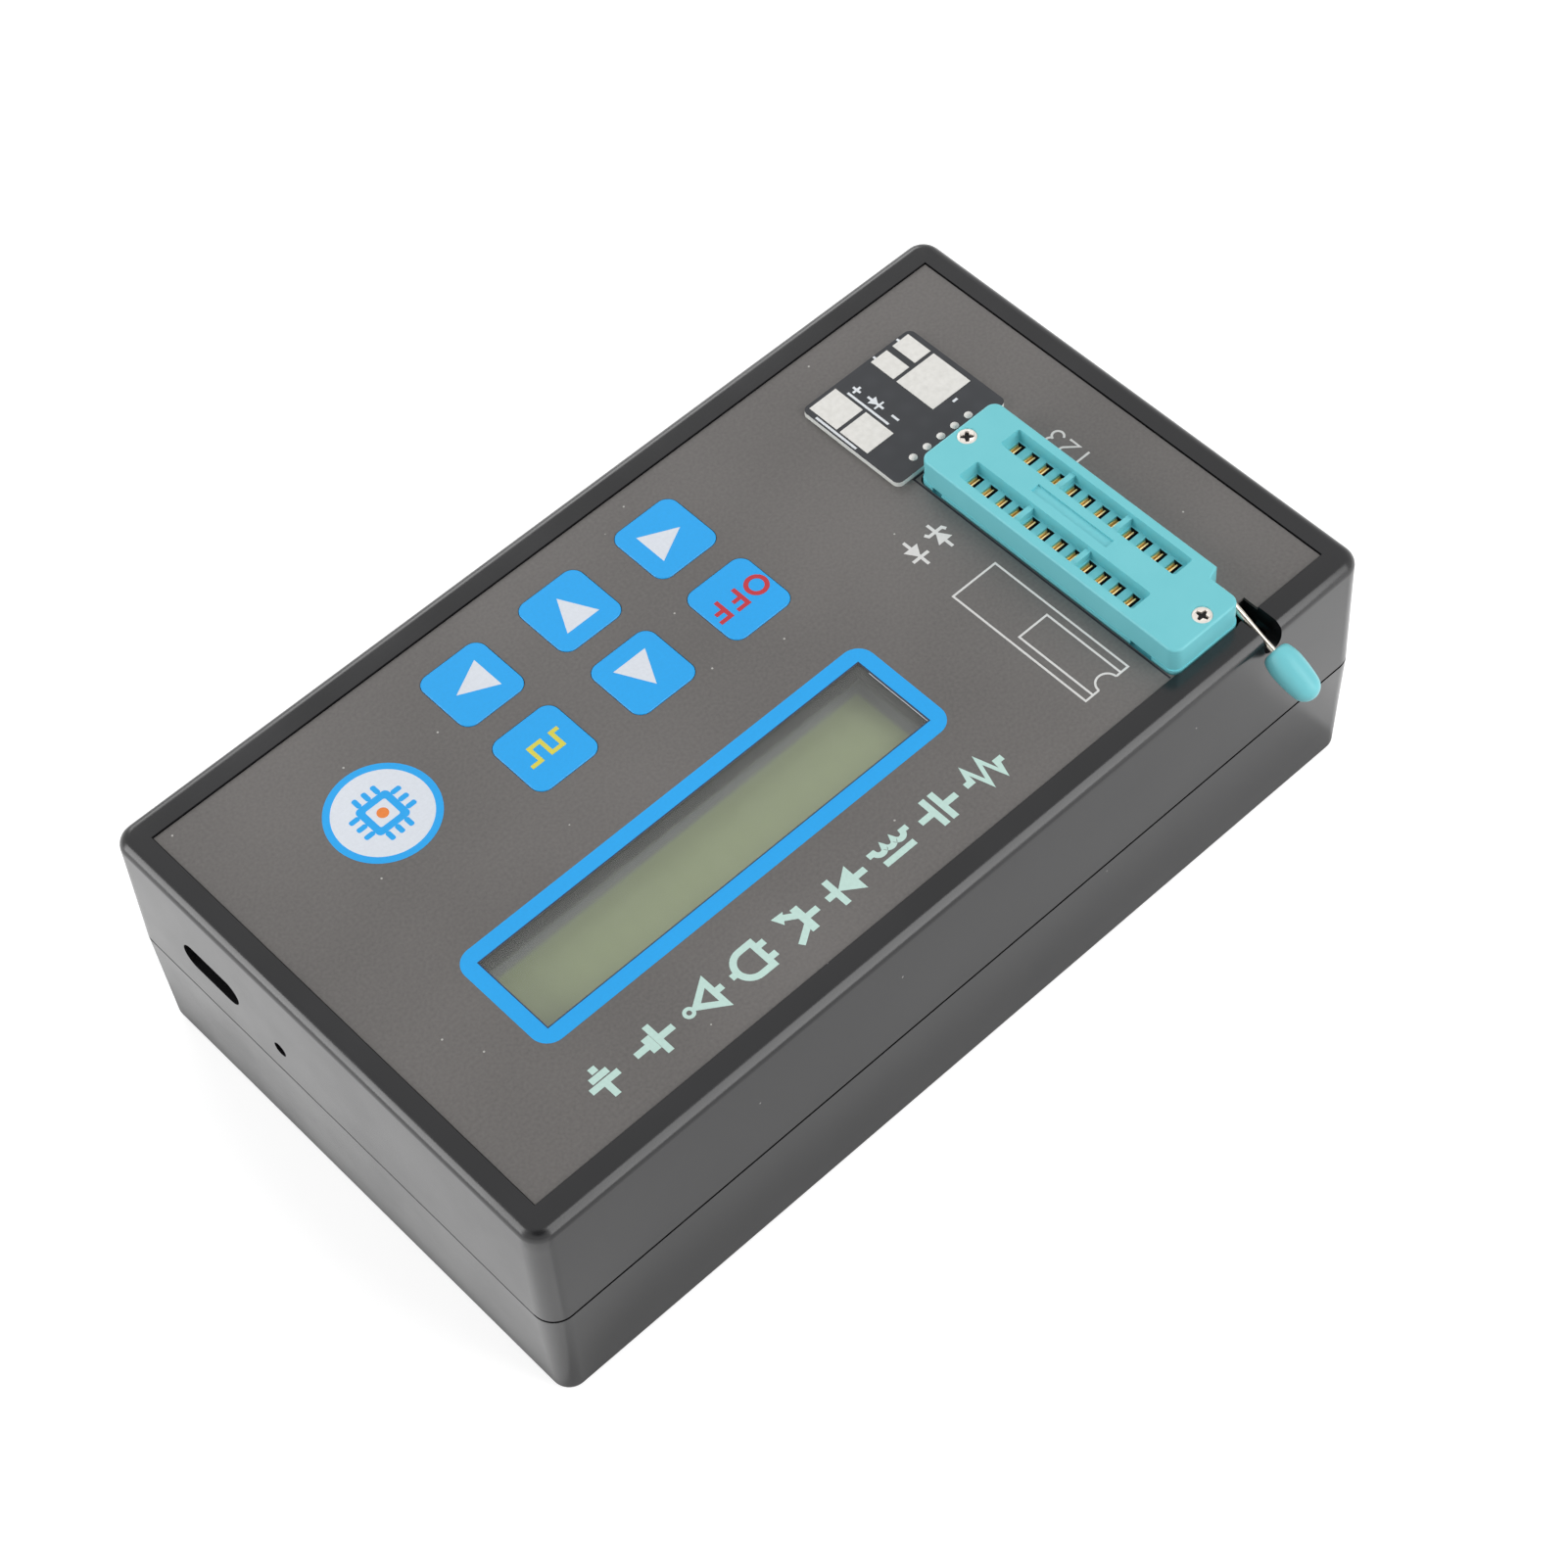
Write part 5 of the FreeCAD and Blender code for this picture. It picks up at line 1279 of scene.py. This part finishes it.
    def build_lever(self) -> None:
        """Wire lever with the cam on its shaft."""
        bm = bmesh.new()
        bm.from_mesh(self.wire())
        cx, cy, cz, radius, width = self.cam
        steps = self.cam_steps
        cheeks = []
        for share, size in ((-0.5, 0.85), (-0.4, 1.0), (0.4, 1.0), (0.5, 0.85)):
            x = (cx + share * width) * MM
            plan = ring(0, 0, radius * size, steps)
            cheeks.append([bm.verts.new((x, (cy + a) * MM, (cz + b) * MM)) for a, b in plan])
        for low, high in zip(cheeks, cheeks[1:]):
            for i in range(steps):
                j = (i + 1) % steps
                bm.faces.new((low[i], low[j], high[j], high[i]))
        bm.faces.new(cheeks[0])
        bm.faces.new(cheeks[-1])
        bmesh.ops.recalc_face_normals(bm, faces=bm.faces)
        mesh = kept(bm, "lever")
        piece = show("lever_wire", mesh, NICKEL_WIRE, Bodies.LEVER.value, smooth=40)
        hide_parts("socket_lever")


@dataclass
class AdapterBoard:
    """Small black board for surface-mounted parts, with tinned pads, solder beads and white signs."""

    bead_start: Point = (-41.35, -12.31)
    bead_pitch: float = -2.54
    beads: int = 5
    bead_radius: float = 0.6
    line: float = 0.36
    bar_line: float = 0.3
    diode_place: Point = (-44.4, -22.6)

    def dress(self) -> None:
        """Give the board, its pads and its pins their finishes."""
        dress(MASK_BLACK, "adapter_board")
        dress(DIPPED_TIN, "adapter_pads")
        dress(BLACK_NYLON, "adapter_header")

    def build(self) -> None:
        """Make the solder beads and the white signs."""
        shares = [(0.0, -0.02), (1.0, -0.02), (0.98, 0.02), (0.8, 0.1)]
        shares += [(0.6, 0.19), (0.45, 0.27), (0.27, 0.3), (0.0, 0.3)]
        drop = turned([(share * self.bead_radius, height) for share, height in shares])
        row = (self.beads, (self.bead_pitch, 0.0, 0.0))
        mesh = repeated(drop, (*self.bead_start, ADAPTER_TOP), row, ONCE, DIPPED_TIN, turn_spread=1.0)
        piece = show("solder_drops", mesh, DIPPED_TIN, smooth=50)
        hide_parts("solder_beads")
        self.print_signs()

    def print_signs(self) -> None:
        """White plus, minus and diode signs, guide lines and pad ticks."""
        plus = [[(-44.2, -26.7), (-44.2, -25.3)], [(-44.9, -26.0), (-43.5, -26.0)]]
        minus = [[(-44.4, -19.5), (-44.4, -18.2)]]
        guides = [[(-43.0, -26.5), (-43.0, -18.7)], [(-37.1, -26.4), (-37.1, -18.7)]]
        ticks = [[(-54.2, -28.65), (-54.2, -28.2)], [(-49.8, -28.65), (-49.8, -28.2)]]
        ticks.append([(-52.5, -15.4), (-51.7, -15.4)])
        shapes = strokes(plus + minus + guides + ticks, self.line)
        diode = [[[(-0.75, -0.8), (0.5, 0.0), (-0.75, 0.8)]]]
        diode.append(stroke([(0.65, -0.85), (0.65, 0.85)], self.bar_line))
        diode.append(stroke([(-1.5, 0.0), (1.5, 0.0)], self.line))
        shapes += placed(diode, *self.diode_place, 90)
        mesh = slab(shapes, ADAPTER_TOP - INK_ROOT, ADAPTER_TOP + INK, "adapter_sign_print")
        show("adapter_sign_print", mesh, SILKSCREEN)


@dataclass
class PowerEnd:
    """Charging socket and charge lamp at the end wall."""

    mouth: float = 68.5
    centre: Point = (-23.0, 27.63)
    strips: int = 12
    strip_pitch: float = 0.5
    strip: Place = (2.8, 0.26, 0.06)
    strip_edge: float = 0.015
    strip_inset: float = 2.6
    tongue_half: float = 0.36

    def dress(self) -> None:
        """Give the drawn shell, the tongue and the lamp their finishes."""
        dress(STAINLESS, "usb_socket")
        dress(BLACK_NYLON, "usb_tongue")
        dress(CLEAR_EPOXY, "charge_lamp")

    def build(self) -> None:
        """Lay the gold strips on both faces of the tongue."""
        y, z = self.centre
        first = y - self.strip_pitch * (self.strips - 1) / 2
        start = (self.mouth - self.strip_inset, first, z - self.tongue_half)
        grid = ((self.strips, (0.0, self.strip_pitch, 0.0)), (2, (0.0, 0.0, 2 * self.tongue_half)))
        mesh = repeated(bevelled_bar(*self.strip, self.strip_edge), start, *grid, GOLD_FLASH)
        show("tongue_strips", mesh, GOLD_FLASH)


@dataclass
class InnerPieces:
    """Boards, cell and chips inside the case."""

    def dress(self) -> None:
        """Give the inner pieces their finishes."""
        dress(MASK_GREEN, "main_board")
        dress(ZINC_STEEL, "board_screws")
        dress(SHRINK_SLEEVE, "cell")
        dress(BLACK_NYLON, "cell_holder", "controller_chip")
        dress(SPRING_BRASS, "cell_contacts")
        dress(STAINLESS, "quartz_crystal")


@dataclass(frozen=True)
class Softbox:
    """Soft flat lamp: its place and the point it faces in metres, its two sides, and its power in watts."""

    name: str
    place: Place
    target: Place
    size: Point
    power: float

    def build(self) -> None:
        """Hang the lamp, out of the camera's sight."""
        light = bpy.data.lights.new(self.name, "AREA")
        light.shape = "RECTANGLE"
        light.size, light.size_y = self.size
        light.energy = self.power
        lamp = put(self.name, light)
        lamp.location = self.place
        lamp.rotation_mode = "QUATERNION"
        lamp.rotation_quaternion = (Vector(self.target) - Vector(self.place)).to_track_quat("-Z", "Y")
        lamp.visible_camera = False


@dataclass
class Studio:
    """White floor and room, lamps and the photograph's camera; a ramp maps its first pair to its second."""

    lens: float = 86.19
    sensor: float = 36.0
    clip: Point = (0.01, 20.0)
    place: Place = (0.174373, 0.221056, 0.420129)
    turn: Four = (0.357898, 0.088041, 0.288554, 0.883682)
    lamps: tuple[Softbox, ...] = (
        Softbox("right_softbox", (-0.37, 0.723, 0.555), (-0.37, 0.0, 0.02), (0.65, 1.28), 8.4),
        Softbox("left_softbox", (0.816, -0.5, 0.4), (0.0, -0.5, 0.02), (0.6, 0.84), 7.3),
        Softbox("back_softbox", (-0.345, -0.79, 0.45), (-0.345, 0.0, 0.02), (0.6, 0.38), 2.3),
    )
    room_light: float = 0.265
    ceiling: Four = (0.3, 0.6, 1.0, 0.8)
    dark_side: Place = (0.345, 0.437, 0.831)
    dark_ramp: Four = (0.86, 0.96, 1.0, 0.15)
    floor_half: float = 3.0
    floor_drop: float = -0.0002
    floor_grey: float = 0.6
    floor_lift: float = 0.7
    foot_ramp: Four = (0.002, 0.011, 0.14, 0.52)
    end_glow_ramp: Four = (-0.001, 0.001, 0.0, 0.42)
    end_stretch: float = 1.6

    def build(self) -> None:
        """Make the floor, the room, the lamps and the camera."""
        self.build_floor()
        self.build_room()
        for lamp in self.lamps:
            lamp.build()
        self.build_camera()
        bpy.context.scene.view_settings.view_transform = "Standard"

    def seen(self, tree: Tree) -> Socket:
        """Switch that is 1 for rays from the camera, from gloss and through clear pieces.

        Args:
            tree: Tree of the world.

        Returns:
            The socket that gives the switch.
        """
        rays = add(tree, "ShaderNodeLightPath").outputs
        direct = {0: rays["Is Camera Ray"], 1: rays["Is Glossy Ray"]}
        first = add(tree, "ShaderNodeMath", direct, operation="ADD")
        every = {0: first, 1: rays["Is Transmission Ray"]}
        return add(tree, "ShaderNodeMath", every, operation="ADD", use_clamp=True).outputs[0]

    def foot_shade(self, tree: Tree) -> Socket:
        """Lift of the floor as the walls mirror it: painted shade low beside the foot of the case, full
        further out, and painted light in a brighter band beyond the end walls.

        Args:
            tree: Tree of the floor's material.

        Returns:
            The socket that gives the lift.
        """
        low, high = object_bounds()
        coords = add(tree, "ShaderNodeTexCoord").outputs["Object"]
        place = add(tree, "ShaderNodeSeparateXYZ", {0: coords}).outputs
        ways = []
        for axis, edge, stretch in (("X", high[0], self.end_stretch), ("Y", -low[1], 1.0)):
            size = add(tree, "ShaderNodeMath", {0: place[axis]}, operation="ABSOLUTE")
            past = add(tree, "ShaderNodeMath", {0: size, 1: edge}, operation="SUBTRACT")
            ways.append(add(tree, "ShaderNodeMath", {0: past, 1: stretch}, operation="MULTIPLY"))
        gap = add(tree, "ShaderNodeMath", {0: ways[0], 1: ways[1]}, operation="MAXIMUM")
        base = add(tree, "ShaderNodeMapRange", {0: gap, **dict(enumerate(self.foot_ramp, 1))})
        # Painted light: the floor glows brighter to gloss beyond the end walls.
        ends = add(tree, "ShaderNodeMapRange", {0: ways[0], **dict(enumerate(self.end_glow_ramp, 1))})
        return add(tree, "ShaderNodeMath", {0: base, 1: ends}, operation="ADD").outputs[0]

    def floor_material(self) -> bpy.types.Material:
        """White to the eye with the shadow left in it, with painted shade and light where the walls mirror
        it, clear from below.

        Returns:
            The floor's material.
        """
        material = bpy.data.materials.new("floor_white")
        material.use_nodes = True
        tree = material.node_tree
        tree.nodes.clear()
        matt = add(tree, "ShaderNodeBsdfDiffuse", {"Color": (*[self.floor_grey] * 3, 1.0)})
        rays = add(tree, "ShaderNodeLightPath").outputs
        direct = {0: rays["Is Camera Ray"], 1: rays["Is Transmission Ray"]}
        looked_at = add(tree, "ShaderNodeMath", direct, operation="MAXIMUM")
        plain = add(tree, "ShaderNodeMath", {0: looked_at, 1: self.floor_lift}, operation="MULTIPLY")
        gloss = {0: rays["Is Glossy Ray"], 1: self.foot_shade(tree)}
        mirrored = add(tree, "ShaderNodeMath", gloss, operation="MULTIPLY")
        lift = add(tree, "ShaderNodeMath", {0: plain, 1: mirrored}, operation="MAXIMUM")
        glow = add(tree, "ShaderNodeEmission", {"Color": WHITE, "Strength": lift})
        both = add(tree, "ShaderNodeAddShader", {0: matt, 1: glow})
        below = add(tree, "ShaderNodeNewGeometry").outputs["Backfacing"]
        clear = add(tree, "ShaderNodeBsdfTransparent")
        sided = add(tree, "ShaderNodeMixShader", {0: below, 1: both, 2: clear})
        add(tree, "ShaderNodeOutputMaterial", {"Surface": sided})
        return material

    def build_floor(self) -> None:
        """Lay the floor just under the part."""
        bm = bmesh.new()
        bmesh.ops.create_grid(bm, x_segments=1, y_segments=1, size=self.floor_half)
        for vert in bm.verts:
            vert.co.z = self.floor_drop
        mesh = kept(bm, "floor")
        mesh.materials.append(self.floor_material())
        floor = put("floor", mesh)
        floor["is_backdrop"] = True

    def build_room(self) -> None:
        """White room, with a greyer ceiling and a dark patch in what gloss mirrors, and even light."""
        world = bpy.data.worlds.new("white_room")
        world.use_nodes = True
        bpy.context.scene.world = world
        tree = world.node_tree
        tree.nodes.clear()
        light = add(tree, "ShaderNodeBackground", {"Color": WHITE, "Strength": self.room_light})
        way = add(tree, "ShaderNodeTexCoord").outputs["Generated"]
        up = add(tree, "ShaderNodeSeparateXYZ", {0: way}).outputs["Z"]
        height = add(tree, "ShaderNodeMapRange", {0: up, **dict(enumerate(self.ceiling, 1))})
        facing = add(tree, "ShaderNodeVectorMath", {0: way, 1: self.dark_side}, operation="DOT_PRODUCT")
        ramp = {0: facing.outputs["Value"], **dict(enumerate(self.dark_ramp, 1))}
        shade = add(tree, "ShaderNodeMapRange", ramp)
        mirrored = add(tree, "ShaderNodeMath", {0: height, 1: shade}, operation="MULTIPLY")
        looked_at = add(tree, "ShaderNodeLightPath").outputs["Is Camera Ray"]
        level = add(tree, "ShaderNodeMath", {0: mirrored, 1: looked_at}, operation="MAXIMUM")
        white = add(tree, "ShaderNodeBackground", {"Color": WHITE, "Strength": level})
        mixed = add(tree, "ShaderNodeMixShader", {0: self.seen(tree), 1: light, 2: white})
        add(tree, "ShaderNodeOutputWorld", {"Surface": mixed})

    def build_camera(self) -> None:
        """Camera at the photograph's place, turn and lens."""
        data = bpy.data.cameras.new("camera")
        data.sensor_fit = "HORIZONTAL"
        data.sensor_width = self.sensor
        data.lens = self.lens
        data.clip_start, data.clip_end = self.clip
        camera = put("camera", data)
        camera.location = self.place
        camera.rotation_mode = "QUATERNION"
        camera.rotation_quaternion = Quaternion(self.turn)
        bpy.context.scene.camera = camera


def main() -> None:
    """Build the sub-assemblies in order."""
    logging.basicConfig(level=logging.INFO, format="%(name)s %(message)s")
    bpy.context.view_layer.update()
    shells, panel, display = CaseShells(), PanelFilm(), DisplayModule()
    socket, adapter, power = TestSocket(), AdapterBoard(), PowerEnd()
    for assembly in (shells, panel, display, socket, adapter, power, InnerPieces()):
        assembly.dress()
    for assembly in (shells, panel, display, socket, adapter, power, Studio()):
        assembly.build()


if __name__ == "__main__":
    main()
